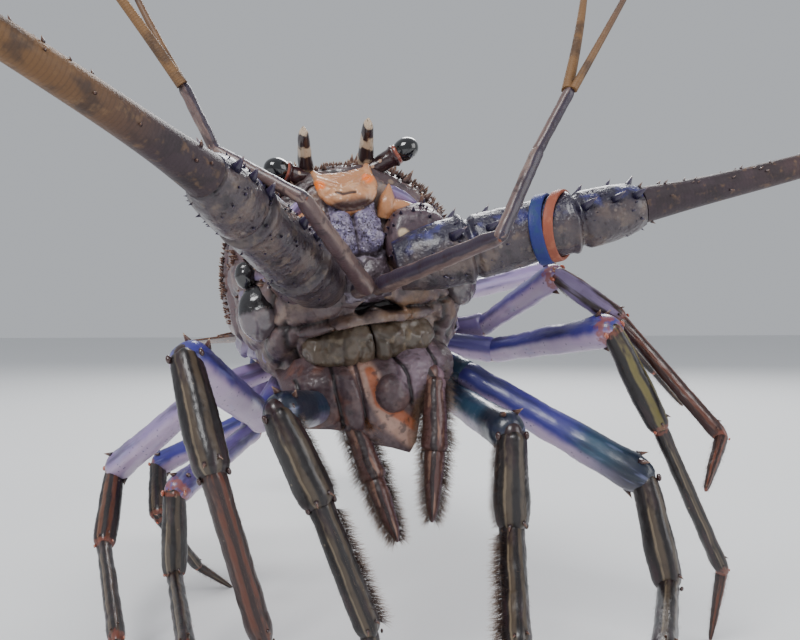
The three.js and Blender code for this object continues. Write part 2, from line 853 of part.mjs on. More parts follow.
// The tail fan: the middle blade and two on each side, lower towards the outside.
const FAN = {
  telson: { angle: 0, start: 0, length: 68, root: 13, wide: 17.5, layer: 3.6 },
  inner: { angle: 20, start: 8, length: 66, root: 6, wide: 16, layer: -0.8 },
  outer: { angle: 40, start: 14, length: 66, root: 6, wide: 17, layer: -5.5 },
};
const BLADE_ROWS = 5;
const BLADE_COLUMNS = 10;

function blade({ angle, start, length, root, wide, layer }, side) {
  const end = JOINTS.at(-1);
  const droopAt = (v) => FAN_DROOP * (1 - 0.75 * v);
  const spineOf = (v) => {
    const place = end.middle.clone();
    for (let s = 0; s < 8; s += 1)
      place.addScaledVector(heading(90, -droopAt((v * (s + 0.5)) / 8)), (v * length) / 8);
    return place;
  };
  const turn = rad(angle) * side;
  const place = (u, v) => {
    const spread = v ** 0.7;
    const half = lerp(root, wide, Math.sin(Math.min(1, v * 1.25) * Math.PI * 0.5));
    const round = Math.sqrt(Math.max(0.12, 1 - Math.max(0, (v - 0.78) / 0.24) ** 2));
    const reach = v * (1 - 0.1 * u * u * v);
    const middle = spineOf(reach * (Math.cos(turn) * 0.9 + 0.1));
    return middle
      .addScaledVector(vec(1, 0, 0), side * start + Math.sin(turn) * length * spread * v ** 0.3)
      .addScaledVector(vec(1, 0, 0), u * half * round * Math.cos(turn))
      .addScaledVector(heading(90, -droopAt(v)), -u * half * round * Math.sin(turn) * 0.6)
      .addScaledVector(heading(90, 90 - droopAt(v)), layer);
  };
  const ribs = (u, v) => {
    const raised = 0.35 * (1 + Math.cos((u * Math.PI * BLADE_COLUMNS) / 2));
    return lerp(2.6, 1.1, v ** 0.6) + raised * Math.min(1, v * 3);
  };
  return leaf(BLADE_COLUMNS, BLADE_ROWS, place, (v) => heading(90, 90 - droopAt(v)), ribs);
}

// Two rubber bands round the left antenna

const BANDS = {
  band_blue: { along: 47.6, width: 4.8, material: BLUE_BAND },
  band_orange: { along: 52.3, width: 3.8, material: ORANGE_BAND },
};
const BAND_THICKNESS = 1.6;

function band({ along, width }) {
  const ring = (offset, extra) => {
    const at = along + offset;
    const [half] = smooth(PEDUNCLE, clamp(at, 0, 80));
    const [across, up] = frameOf(heading(...ANTENNA_POSES.left.peduncle));
    const middle = pedunclePoint("left", 1, at);
    return oval(middle, across, up, half * 0.94 + extra, half + extra, 12);
  };
  const extents = [-width / 2, width / 2];
  const outside = loft(extents.map((offset) => ring(offset, GAP + BAND_THICKNESS)));
  const inside = loft([-width / 2 - 1, width / 2 + 1].map((offset) => ring(offset, GAP)));
  return outside.subtract(inside);
}

// Putting it together

node("carapace", carapace, SHELL);
node("breast", breast, SHELL);
const plate = clearOf(join([headPlate(), ...plateSpines()]), [grownHead]);
node("head_plate", plate, PLATE);

for (const [name, side] of SIDES) {
  const stalk = clearOf(eyestalk(name, side), [grownHead, grownPlate]);
  node("eyestalk_" + name, stalk, HORN);
  node("eye_" + name, clearOf(eyeball(name), [eyestalk(name, side, GAP), grownHead]), EYE);
}

const grownMouth = mandibles(GAP);
const mouthCuts = [grownHead, grownPlate, antennaBase(1, GAP), antennaBase(-1, GAP)];
node("mandibles", clearOf(mandibles(), mouthCuts), MOUTH);

for (const [name, side] of SIDES) {
  const grownBase = antennaBase(side, GAP);
  const firstCuts = [grownHead, grownPlate, eyestalk(name, side, GAP)];
  node("antenna_base_" + name, clearOf(antennaBase(side), firstCuts), ANTENNA);
  const spines = clearOf(join(peduncleSpines(name, side)), [antennule(name, side, GAP)]);
  const arm = clearOf(join([peduncle(name, side), spines]), [
    grownHead,
    grownPlate,
    grownBase,
    antennaBase(-side, GAP),
    grownMouth,
  ]);
  node("antenna_arm_" + name, arm, ANTENNA);
  const inner = clearOf(flagellum(name, side, 0, FLAGELLUM_SPLIT), [peduncle(name, side, GAP)]);
  node("antenna_inner_" + name, inner, ANTENNA);
  const outer = flagellum(name, side, FLAGELLUM_SPLIT, FLAGELLUM_LENGTH);
  node("antenna_outer_" + name, outer, ANTENNA);
}

const grownArms = SIDES.flatMap(([name, side]) => [
  peduncle(name, side, GAP),
  antennaBase(side, GAP),
]);
for (const [name, side] of SIDES) {
  const cuts = [grownHead, grownPlate, ...grownArms];
  if (side < 0) cuts.push(antennule("left", 1, GAP));
  node("antennule_" + name, clearOf(antennule(name, side), cuts), PLATE);
  const lashCuts = [antennule(name, side, GAP)];
  node("antennule_" + name + "_outer", clearOf(lash(name, "outer"), lashCuts), PLATE);
  lashCuts.push(lash(name, "outer", GAP));
  node("antennule_" + name + "_inner", clearOf(lash(name, "inner"), lashCuts), PLATE);
}

const grownFeelers = [];
for (const [name] of SIDES) {
  const made = clearOf(maxilliped(name), [grownTrunk, grownMouth, ...grownFeelers]);
  grownFeelers.push(maxilliped(name, GAP));
  node("maxilliped_" + name, made, LEG_LOWER);
}

for (const [name, side] of SIDES) {
  const taken = [grownTrunk, grownMouth, ...grownFeelers];
  for (let number = 1; number <= 5; number += 1) {
    const leg = name + "_" + number;
    node("leg_upper_" + leg, clearOf(upperLeg(leg, side), taken), LEG_UPPER);
    taken.push(upperLeg(leg, side, GAP));
    const lower = clearOf(lowerLeg(leg, side), [upperLeg(leg, side, GAP)]);
    node("leg_lower_" + leg, lower, LEG_LOWER);
  }
}

DROOPS.forEach((_, index) => {
  const cuts = index === 0 ? [grownTrunk] : [];
  const made = clearOf(join([segment(index), ...segmentFlaps(index)]), cuts);
  node("abdomen_" + (index + 1), made, TAIL);
});

for (const [which, shape] of Object.entries(FAN)) {
  const sides = which === "telson" ? [["", 1]] : SIDES;
  for (const [name, side] of sides) {
    const title = which === "telson" ? "telson" : "uropod_" + which + "_" + name;
    const made = clearOf(blade(shape, side), [segment(DROOPS.length - 1, GAP)]);
    node(title, made, TAIL);
  }
}

for (const [name, size] of Object.entries(BANDS)) node(name, band(size), size.material);

export default lobster;
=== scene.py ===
# A Caribbean spiny lobster as a life-size museum model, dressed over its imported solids.
import math

import bmesh
import bpy
import numpy as np
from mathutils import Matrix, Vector, noise


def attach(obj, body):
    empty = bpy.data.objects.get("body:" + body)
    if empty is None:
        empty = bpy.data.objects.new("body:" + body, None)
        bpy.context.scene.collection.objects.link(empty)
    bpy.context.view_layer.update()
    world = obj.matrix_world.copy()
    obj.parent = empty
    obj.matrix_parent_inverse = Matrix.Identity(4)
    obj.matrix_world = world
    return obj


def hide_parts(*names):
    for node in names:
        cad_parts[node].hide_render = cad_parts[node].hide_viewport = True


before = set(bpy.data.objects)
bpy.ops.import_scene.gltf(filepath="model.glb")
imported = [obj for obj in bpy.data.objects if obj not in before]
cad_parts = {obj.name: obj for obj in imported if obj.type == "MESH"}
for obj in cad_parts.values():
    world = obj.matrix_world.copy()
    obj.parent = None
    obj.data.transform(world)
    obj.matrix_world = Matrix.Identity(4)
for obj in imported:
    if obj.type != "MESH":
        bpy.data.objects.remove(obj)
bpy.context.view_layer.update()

# Driving dimensions, in millimetres, as in the solids

MM = 0.001
CARAPACE = 120.0  # along the back, from between the horns to the rear edge
PLACE = np.array([-49.5, -47.5, 0.0])  # brings the middle of the whole to the origin
HEAD = PLACE + [3.0, 0.0, 183.4]  # the point between the horns
HEAD_UP = 6.0  # degrees that the front of the body is raised
LEAN = 10.0  # degrees that the animal's left side is raised
SIDES = {"left": 1, "right": -1}

# Lengths and half widths of a leg's parts, from the body outwards
LEG_LENGTHS = {
    1: (28, 52, 33, 48, 27),
    2: (34, 79, 39, 61, 31),
    3: (34, 80, 42, 70, 36),
    4: (31, 64, 30, 58, 30),
    5: (28, 56, 32, 48, 26),
}
LEG_RADII = {
    1: (5.4, 6.4, 6.2, 5.1, 3.1),
    2: (5.2, 6.3, 5.7, 4.4, 2.7),
    3: (5.0, 5.6, 4.7, 3.4, 2.3),
    4: (4.8, 5.0, 4.4, 3.2, 2.2),
    5: (4.5, 4.6, 4.0, 3.0, 2.0),
}
LEG_ROOTS = {1: (22, 32, -64), 2: (27, 44, -63), 3: (32, 56, -61), 4: (35, 68, -58), 5: (36, 80, -53)}
FLOOR_SINK = 0.4
# The compass heading and climb of each part but the last, the last part's heading, and its
# climb where the foot is lifted
POSES = {
    "left_1": (((-40, -46), (-81, -11), (60, -88), (-106, -41)), -90, None),
    "left_2": (((-59, -22), (-35, -28), (-65, -74), (-119, -4)), -97, None),
    "left_3": (((-12, -8), (-75, 7), (10, -60), (22, -58)), 78, None),
    "left_4": (((-22, 8), (-80, 18), (-26, -36), (-54, -46)), -132, -30),
    "left_5": (((-4, 34), (23, 12), (-4, -34), (7, -44)), 10, -46),
    "right_1": (((-70, -31), (-119, 2), (-13, -65), (13, -68)), 0, None),
    "right_2": (((-118, -32), (-112, 19), (-66, -59), (51, -66)), 0, None),
    "right_3": (((-155, -17), (125, -29), (-93, -40), (-81, -16)), -80, None),
    "right_4": (((-132, -72), (-120, -14), (-84, -88), (-85, -9)), -80, None),
    "right_5": (((-180, -87), (151, -26), (-87, -36), (63, -40)), 36, None),
}

# The trunk from front to rear: distance back, half width, top, widest level and underside
TRUNK = (
    (-7, 24, 2, -24, -56),
    (-3, 32, 6, -24, -66),
    (12, 42, 10, -26, -76),
    (32, 47, 15, -28, -79),
    (58, 48.5, 16.5, -29, -75),
    (63, 47.5, 15.6, -29, -74),
    (68, 48, 16, -28, -72),
    (90, 46.5, 14, -25, -62),
    (110, 40, 10, -18, -47),
    (113, 36, 6, -17, -41),
)
SHELL_FRONT = -64.0  # the lower edge of the shell, under the point between the horns
SHELL_SLOPE = 0.2  # how it rises to the rear

SEGMENT_LENGTH = 0.235 * CARAPACE
DROOPS = (6, 7, 9, 11, 12, 13)  # degrees below level of each part of the abdomen
FAN_DROOP = 12.0
SEGMENT_WIDTHS = (38, 38, 37, 35, 33, 30)
SEGMENT_HEIGHTS = (23, 23, 22, 21, 19.5, 17.5)
SEGMENT_UNDERS = (14, 13.5, 13, 12, 10.5, 8)
PLEURON_LENGTH = 13.0

ANTENNA_ROOT = (19, -20, -36)
PEDUNCLE = (
    (-8, 9), (0, 11.2), (17, 12), (20, 10.8), (23, 11.4), (40, 10.9),
    (58, 10.4), (60, 9.4), (63, 10.1), (78, 9.2), (84, 7.6),
)
PEDUNCLE_LENGTH = 84.0
FLAGELLUM_LENGTH = 430.0
FLAGELLUM_STEP = 15.0
FLAGELLUM_SIZES = ((0, 6.7), (20, 5.4), (45, 4.7), (150, 3.2), (300, 1.9), (430, 0.8))
ANTENNA_POSES = {
    "left": ((-11, 14), ((-11, 13), (10, 22), (30, 6))),
    "right": ((-119, 17), ((-128, 17), (-160, 24), (-185, 6))),
}
# The socket of each antennule in front of the block, and the place where its first joint starts
ANTENNULE_SOCKET = (3.6, -12, -42)
ANTENNULE_ROOT = (3.6, -28.5, -43)
ANTENNULE_LENGTHS = (60, 33, 22)
ANTENNULE_RADII = (3.4, 2.2, 1.9)
ANTENNULE_POSES = {
    "left": ((-65, 12), (30, 58), (0, 61)),
    "right": ((-120, 24), (148, 28), (169, 64)),
}
LASH_POSES = {"left": (38, 54), "right": (160, 56)}
LASH_LENGTH = 85.0
EYES = {"left": (26.8, -3.5, 9.5), "right": (-23.3, -3.5, 8.6)}

# The camera stands close in front, low, and a little to the animal's right
CAMERA_PLACE = PLACE + [-50.3, -359.4, 132.0]
CAMERA_YAW = 12.0
CAMERA_LENS = 42.75


# Directions, places and smooth tables

def turn_about(axis, degrees):
    c, s = math.cos(math.radians(degrees)), math.sin(math.radians(degrees))
    turns = {
        "x": ((1, 0, 0), (0, c, -s), (0, s, c)),
        "y": ((c, 0, s), (0, 1, 0), (-s, 0, c)),
        "z": ((c, -s, 0), (s, c, 0), (0, 0, 1)),
    }
    return np.array(turns[axis], float)


BODY_TURN = turn_about("x", -HEAD_UP) @ turn_about("y", -LEAN)


def spots(x, y, z):
    return np.stack(np.broadcast_arrays(x, y, z), axis=-1).astype(float)


def in_body(x, y, z):
    """A place on the leaning body as a place over the floor."""
    return spots(x, y, z) @ BODY_TURN.T + HEAD


def body_way(x, y, z):
    return unit(spots(x, y, z) @ BODY_TURN.T)


def unit(v):
    v = np.asarray(v, float)
    return v / np.maximum(np.linalg.norm(v, axis=-1, keepdims=True), 1e-9)


def heading(compass, climb):
    c, e = math.radians(compass), math.radians(climb)
    return np.array([math.cos(e) * math.cos(c), math.cos(e) * math.sin(c), math.sin(e)])


def smooth(table, at):
    """A smooth curve through the rows of a table whose first column is the distance."""
    table = np.asarray(table, float)
    at = np.atleast_1d(np.asarray(at, float))
    i = np.clip(np.searchsorted(table[:, 0], at, side="left") - 1, 0, len(table) - 2)
    before, after = np.maximum(i - 1, 0), np.minimum(i + 2, len(table) - 1)
    span = table[i + 1, 0] - table[i, 0]
    t = np.clip((at - table[i, 0]) / span, 0, 1)[:, None]
    start, end = table[i, 1:], table[i + 1, 1:]
    leave = (end - table[before, 1:]) * (span / (table[i + 1, 0] - table[before, 0]))[:, None]
    arrive = (table[after, 1:] - start) * (span / (table[after, 0] - table[i, 0]))[:, None]
    return (
        start * (2 * t**3 - 3 * t**2 + 1)
        + leave * (t**3 - 2 * t**2 + t)
        + end * (3 * t**2 - 2 * t**3)
        + arrive * (t**3 - t**2)
    )


def mix(a, b, t):
    return a + (b - a) * t


def step(low, high, value):
    t = np.clip((value - low) / (high - low), 0, 1)
    return t * t * (3 - 2 * t)


def dent(value, middle, width):
    """One at the middle, fading to nothing over the width."""
    return np.exp(-(((value - middle) / width) ** 2))


def rough(points, size, seed=0.0):
    """Smooth noise between about -1 and 1, with lumps of that size."""
    flat = points.reshape(-1, 3) / size + seed
    return np.array([noise.noise(Vector(p)) for p in flat]).reshape(points.shape[:-1]) * 1.6


def frame_of(way, hint):
    """Two directions across a way: the first as near to the hint as can be."""
    way = unit(way)
    first = unit(hint - way * np.sum(way * hint, axis=-1, keepdims=True))
    return first, np.cross(way, first)


# Meshes

class Skin:
    """One piece, made of surfaces over rings of points, with a finish for each surface."""

    def __init__(self, name):
        self.name = name
        self.points, self.faces, self.places, self.slots = [], [], [], []
        self.marks = {"tint": [], "joint": []}
        self.finishes = []
        self.count = 0

    def add(self, rings, finish, closed=True, ends=(True, True), tint=0.0, joint=0.0, along=None):
        """rings is an array of rings by points by 3; its map runs in millimetres along and as a
        share around. ends says which ends get a cap, and tint and joint are marks for the finish."""
        n, m = rings.shape[:2]
        first = self.count
        given = {"tint": np.broadcast_to(tint, (n, m)), "joint": np.broadcast_to(joint, (n, m))}
        self.points.append(rings.reshape(-1, 3))
        for key, value in given.items():
            self.marks[key].append(value.reshape(-1))
        self.count += n * m
        if along is None:
            steps = np.linalg.norm(np.diff(rings.mean(axis=1), axis=0), axis=1)
            along = np.concatenate([[0], np.cumsum(steps)])
        wide = m if closed else m - 1
        r, c = np.meshgrid(np.arange(n - 1), np.arange(wide), indexing="ij")
        r, c = r.ravel(), c.ravel()
        far = (c + 1) % m
        quads = np.stack([r * m + c, r * m + far, (r + 1) * m + far, (r + 1) * m + c], axis=1)
        u = np.stack([along[r], along[r], along[r + 1], along[r + 1]], axis=1)
        v = np.stack([c, c + 1, c + 1, c], axis=1) / max(wide, 1)
        faces, places = [quads + first], [np.stack([u, v], axis=-1)]
        for which, ring in enumerate((0, n - 1)):
            if not (closed and ends[which]):
                continue
            self.points.append(rings[ring].mean(axis=0)[None])
            for key, value in given.items():
                self.marks[key].append(np.atleast_1d(value[ring].mean()))
            middle = self.count
            self.count += 1
            a = np.arange(m)
            b = (a + 1) % m
            near = first + ring * m
            order = (near + b, near + a) if which == 0 else (near + a, near + b)
            fan = np.stack([*order, np.full(m, middle), np.full(m, -1)], axis=1)
            faces.append(fan)
            fan_v = np.stack([a / m, a / m, a / m, a / m], axis=1)
            places.append(np.stack([np.full((m, 4), along[ring]), fan_v], axis=-1))
        faces = np.concatenate(faces)
        self.faces.append(faces)
        self.places.append(np.concatenate(places))
        if finish not in self.finishes:
            self.finishes.append(finish)
        self.slots.append(np.full(len(faces), self.finishes.index(finish)))
        return self

    def done(self, nodes=(), slot=None):
        points = np.concatenate(self.points) * MM
        faces = np.concatenate(self.faces)
        places = np.concatenate(self.places)
        triangle = faces[:, 3] < 0
        sizes = np.where(triangle, 3, 4)
        keep = np.ones(faces.shape, bool)
        keep[triangle, 3] = False
        corners = faces[keep]
        mesh = bpy.data.meshes.new(self.name)
        mesh.vertices.add(len(points))
        mesh.vertices.foreach_set("co", points.ravel())
        mesh.loops.add(len(corners))
        mesh.loops.foreach_set("vertex_index", corners.astype(np.int32))
        mesh.polygons.add(len(faces))
        mesh.polygons.foreach_set("loop_start", np.concatenate([[0], np.cumsum(sizes)[:-1]]))
        mesh.polygons.foreach_set("material_index", np.concatenate(self.slots))
        for finish in self.finishes:
            mesh.materials.append(finish)
        lie = mesh.uv_layers.new(name="Lie")
        lie.data.foreach_set("uv", places[keep].astype(np.float32).ravel())
        for key, values in self.marks.items():
            layer = mesh.attributes.new(key, "FLOAT", "POINT")
            layer.data.foreach_set("value", np.concatenate(values).astype(np.float32))
        mesh.update()
        mesh.validate()
        mesh.polygons.foreach_set("use_smooth", np.ones(len(mesh.polygons), bool))
        facing_out(mesh)
        return placed(bpy.data.objects.new(self.name, mesh), nodes)


def facing_out(mesh):
    work = bmesh.new()
    work.from_mesh(mesh)
    bmesh.ops.recalc_face_normals(work, faces=work.faces)
    work.to_mesh(mesh)
    work.free()


def placed(piece, nodes=()):
    if piece.name not in bpy.context.scene.collection.objects:
        bpy.context.scene.collection.objects.link(piece)
    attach(piece, "root")
    if nodes:
        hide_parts(*nodes)
    return piece


def normals_of(rings, closed=True):
    """The outward direction at each point of rings of points."""
    along = np.gradient(rings, axis=0)
    if closed:
        around = np.roll(rings, -1, axis=1) - np.roll(rings, 1, axis=1)
    else:
        around = np.gradient(rings, axis=1)
    out = unit(np.cross(around, along))
    middle = rings.mean(axis=1, keepdims=True)
    turned = np.sign(np.sum(out * (rings - middle)))
    return out * (turned or 1)


def raised(rings, height, closed=True):
    return rings + normals_of(rings, closed) * np.asarray(height)[..., None]


def swept(path, half_wide, half_high, hint, sides, squareness=2.0, phase=0.0):
    """Rings round a path. Angle nought points along the hint, and half_high is the size there."""
    path = np.asarray(path, float)
    way = unit(np.gradient(path, axis=0))
    first, second = frame_of(way, np.broadcast_to(hint, way.shape))
    angle = 2 * np.pi * np.arange(sides) / sides + phase
    c, s = np.cos(angle), np.sin(angle)
    c = np.sign(c) * np.abs(c) ** (2 / squareness)
    s = np.sign(s) * np.abs(s) ** (2 / squareness)
    high = np.broadcast_to(half_high, len(path))[:, None, None]
    wide = np.broadcast_to(half_wide, len(path))[:, None, None]
    out = first[:, None] * c[None, :, None] * high + second[:, None] * s[None, :, None] * wide
    return path[:, None] + out


def bulb(middle, radii, axes, rows=14, sides=20):
    """An egg shape as rings, with its three half sizes along three directions."""
    t = np.linspace(0.04, np.pi - 0.04, rows)[:, None, None]
    a = (2 * np.pi * np.arange(sides) / sides)[None, :, None]
    x, y, z = (np.asarray(axis, float) for axis in axes)
    return (
        middle
        + z * np.cos(t) * radii[2]
        + x * np.sin(t) * np.cos(a) * radii[0]
        + y * np.sin(t) * np.sin(a) * radii[1]
    )


# Geometry Nodes trees for what repeats

def knot(tree, kind, inputs=None, **settings):
    """Adds a node with its settings, and sets or links its inputs."""
    made = tree.nodes.new(kind)
    for key, value in settings.items():
        setattr(made, key, value)
    for key, value in (inputs or {}).items():
        if isinstance(value, bpy.types.NodeSocket):
            tree.links.new(value, made.inputs[key])
        else:
            made.inputs[key].default_value = value
    return made


def new_tree(name, sockets):
    tree = bpy.data.node_groups.new(name, "GeometryNodeTree")
    tree.interface.new_socket(name="Geometry", in_out="INPUT", socket_type="NodeSocketGeometry")
    for title, kind in sockets.items():
        tree.interface.new_socket(name=title, in_out="INPUT", socket_type=kind)
    tree.interface.new_socket(name="Geometry", in_out="OUTPUT", socket_type="NodeSocketGeometry")
    return tree, knot(tree, "NodeGroupInput").outputs


def named(tree, name, kind="FLOAT"):
    return knot(tree, "GeometryNodeInputNamedAttribute", {"Name": name}, data_type=kind).outputs[0]


def scatter_tree(name, shape):
    """Sets a spike or a bead on every point, along its way and at its size."""
    sockets = {
        "Thickness": "NodeSocketFloat",
        "Bend": "NodeSocketFloat",
        "Spread": "NodeSocketFloat",
        "Spin": "NodeSocketFloat",
        "Sides": "NodeSocketInt",
        "Steps": "NodeSocketInt",
        "Seed": "NodeSocketInt",
        "Finish": "NodeSocketMaterial",
    }
    tree, given = new_tree(name, sockets)
    if shape == "spike":
        form = knot(
            tree,
            "GeometryNodeMeshCone",
            {
                "Vertices": given["Sides"],
                "Side Segments": given["Steps"],
                "Radius Top": 0.0,
                "Radius Bottom": given["Thickness"],
                "Depth": 1.0,
            },
        ).outputs[0]
    else:
        ball = knot(
            tree, "GeometryNodeMeshUVSphere", {"Segments": given["Sides"], "Rings": 5, "Radius": 1.0}
        ).outputs[0]
        low = knot(tree, "ShaderNodeCombineXYZ", {0: 1.0, 1: 1.0, 2: given["Thickness"]}).outputs[0]
        form = knot(tree, "GeometryNodeTransform", {"Geometry": ball, "Scale": low}).outputs[0]
    apart = knot(tree, "ShaderNodeSeparateXYZ", {0: knot(tree, "GeometryNodeInputPosition").outputs[0]})
    height = apart.outputs[2]
    marked = knot(
        tree,
        "GeometryNodeStoreNamedAttribute",
        {"Geometry": form, "Name": "tip", "Value": height},
        data_type="FLOAT",
        domain="POINT",
    ).outputs[0]
    square = knot(tree, "ShaderNodeMath", {0: height, 1: height}, operation="MULTIPLY").outputs[0]
    lean = knot(tree, "ShaderNodeMath", {0: square, 1: given["Bend"]}, operation="MULTIPLY").outputs[0]
    shift = knot(tree, "ShaderNodeCombineXYZ", {0: lean}).outputs[0]
    bent = knot(tree, "GeometryNodeSetPosition", {"Geometry": marked, "Offset": shift}).outputs[0]
    spread = knot(
        tree, "ShaderNodeMath", {0: given["Spread"], 1: -1.0}, operation="MULTIPLY"
    ).outputs[0]
    low = knot(tree, "ShaderNodeCombineXYZ", {0: spread, 1: spread, 2: spread}).outputs[0]
    high = knot(
        tree, "ShaderNodeCombineXYZ", {0: given["Spread"], 1: given["Spread"], 2: given["Spread"]}
    ).outputs[0]
    stray = knot(
        tree,
        "FunctionNodeRandomValue",
        {0: low, 1: high, "Seed": given["Seed"]},
        data_type="FLOAT_VECTOR",
    ).outputs[0]
    way = knot(
        tree, "ShaderNodeVectorMath", {0: named(tree, "way", "FLOAT_VECTOR"), 1: stray}, operation="ADD"
    ).outputs[0]
    turned = knot(tree, "FunctionNodeAlignRotationToVector", {"Vector": way}, axis="Z").outputs[0]
    set_out = knot(
        tree,
        "GeometryNodeInstanceOnPoints",
        {"Points": given["Geometry"], "Instance": bent, "Rotation": turned, "Scale": named(tree, "size")},
    ).outputs[0]
    chance = knot(
        tree, "FunctionNodeRandomValue", {2: 0.0, 3: given["Spin"], "Seed": given["Seed"]}
    ).outputs[1]
    spin = knot(tree, "ShaderNodeCombineXYZ", {2: chance}).outputs[0]
    spun = knot(
        tree, "GeometryNodeRotateInstances", {"Instances": set_out, "Rotation": spin}
    ).outputs[0]
    real = knot(tree, "GeometryNodeRealizeInstances", {"Geometry": spun}).outputs[0]
    even = knot(tree, "GeometryNodeSetShadeSmooth", {"Geometry": real}).outputs[0]
    done = knot(
        tree, "GeometryNodeSetMaterial", {"Geometry": even, "Material": given["Finish"]}
    ).outputs[0]
    knot(tree, "NodeGroupOutput", {"Geometry": done})
    return tree


def rib_tree():
    """A tube round a path, with a low rib at every spacing."""
    sockets = {
        "Spacing": "NodeSocketFloat",
        "Depth": "NodeSocketFloat",
        "Sides": "NodeSocketInt",
        "Finish": "NodeSocketMaterial",
    }
    tree, given = new_tree("ribbed lash", sockets)
    curve = knot(tree, "GeometryNodeMeshToCurve", {"Mesh": given["Geometry"]}).outputs[0]
    quarter = knot(tree, "ShaderNodeMath", {0: given["Spacing"], 1: 0.25}, operation="MULTIPLY").outputs[0]
    fine = knot(
        tree, "GeometryNodeResampleCurve", {"Curve": curve, "Length": quarter}, mode="LENGTH"
    ).outputs[0]
    index = knot(tree, "GeometryNodeInputIndex").outputs[0]
    turn = knot(tree, "ShaderNodeMath", {0: index, 1: math.pi / 2}, operation="MULTIPLY").outputs[0]
    wave = knot(tree, "ShaderNodeMath", {0: turn}, operation="COSINE").outputs[0]
    marked = knot(
        tree,
        "GeometryNodeStoreNamedAttribute",
        {"Geometry": fine, "Name": "tip", "Value": wave},
        data_type="FLOAT",
        domain="POINT",
    ).outputs[0]
    swell = knot(
        tree, "ShaderNodeMath", {0: wave, 1: given["Depth"], 2: 1.0}, operation="MULTIPLY_ADD"
    ).outputs[0]
    half = knot(
        tree, "ShaderNodeMath", {0: named(tree, "size"), 1: swell}, operation="MULTIPLY"
    ).outputs[0]
    ring = knot(
        tree, "GeometryNodeCurvePrimitiveCircle", {"Resolution": given["Sides"], "Radius": 1.0}
    ).outputs[0]
    tube = knot(
        tree,
        "GeometryNodeCurveToMesh",
        {"Curve": marked, "Profile Curve": ring, "Scale": half, "Fill Caps": True},
    ).outputs[0]
    real = knot(tree, "GeometryNodeRealizeInstances", {"Geometry": tube}).outputs[0]
    even = knot(tree, "GeometryNodeSetShadeSmooth", {"Geometry": real}).outputs[0]
    done = knot(
        tree, "GeometryNodeSetMaterial", {"Geometry": even, "Material": given["Finish"]}
    ).outputs[0]
    knot(tree, "NodeGroupOutput", {"Geometry": done})
    return tree


SPIKES = scatter_tree("spikes", "spike")
BEADS = scatter_tree("beads", "bead")
RIBS = rib_tree()


def grown(name, points, tree, inputs, ways=None, sizes=None, places=None, edges=()):
    """Runs a tree on points with a way and a size each, and gives back a plain mesh object."""
    base = bpy.data.meshes.new(name + " points")
    base.from_pydata((np.asarray(points) * MM).tolist(), list(edges), [])
    if ways is not None:
        base.attributes.new("way", "FLOAT_VECTOR", "POINT").data.foreach_set(
            "vector", np.asarray(ways, np.float32).ravel()
        )
    if sizes is not None:
        base.attributes.new("size", "FLOAT", "POINT").data.foreach_set(
            "value", (np.asarray(sizes) * MM).astype(np.float32)
        )
    if places is not None:
        flat = np.concatenate([places, np.zeros((len(places), 1))], axis=1)
        base.attributes.new("root", "FLOAT_VECTOR", "POINT").data.foreach_set(
            "vector", flat.astype(np.float32).ravel()
        )
    carrier = bpy.data.objects.new(name, base)
    bpy.context.scene.collection.objects.link(carrier)
    modifier = carrier.modifiers.new("grow", "NODES")
    modifier.node_group = tree
    for item in tree.interface.items_tree:
        if item.in_out == "INPUT" and item.name in inputs:
            modifier[item.identifier] = inputs[item.name]
    bpy.context.view_layer.update()
    graph = bpy.context.evaluated_depsgraph_get()
    mesh = bpy.data.meshes.new_from_object(carrier.evaluated_get(graph))
    carrier.modifiers.remove(modifier)
    carrier.data = mesh
    bpy.data.meshes.remove(base)
    mesh.name = name
    if places is not None:
        patch_map(mesh)
    return carrier


PATCH = 0.003  # the size of one tuft's patch on the coat's map


def patch_map(mesh):
    """Gives each bristle a small patch of the coat's map at its root's place."""
    root = np.zeros(len(mesh.vertices) * 3, np.float32)
    mesh.attributes["root"].data.foreach_get("vector", root)
    tip = np.zeros(len(mesh.vertices), np.float32)
    mesh.attributes["tip"].data.foreach_get("value", tip)
    corners = np.zeros(len(mesh.loops), np.int32)
    mesh.loops.foreach_get("vertex_index", corners)
    uv = root.reshape(-1, 3)[corners, :2].copy()
    uv[:, 0] += (np.arange(len(corners)) % 3) * PATCH / 3
    uv[:, 1] += tip[corners] * PATCH
    layer = mesh.uv_layers.new(name="OFBake")
    layer.data.foreach_set("uv", uv.ravel())


# Finishes

def linear(code):
    """A colour written as sRGB hex, as the linear numbers that a shader takes."""
    parts = [int(code[i : i + 2], 16) / 255 for i in (1, 3, 5)]
    return (*[c / 12.92 if c <= 0.04045 else ((c + 0.055) / 1.055) ** 2.4 for c in parts], 1.0)


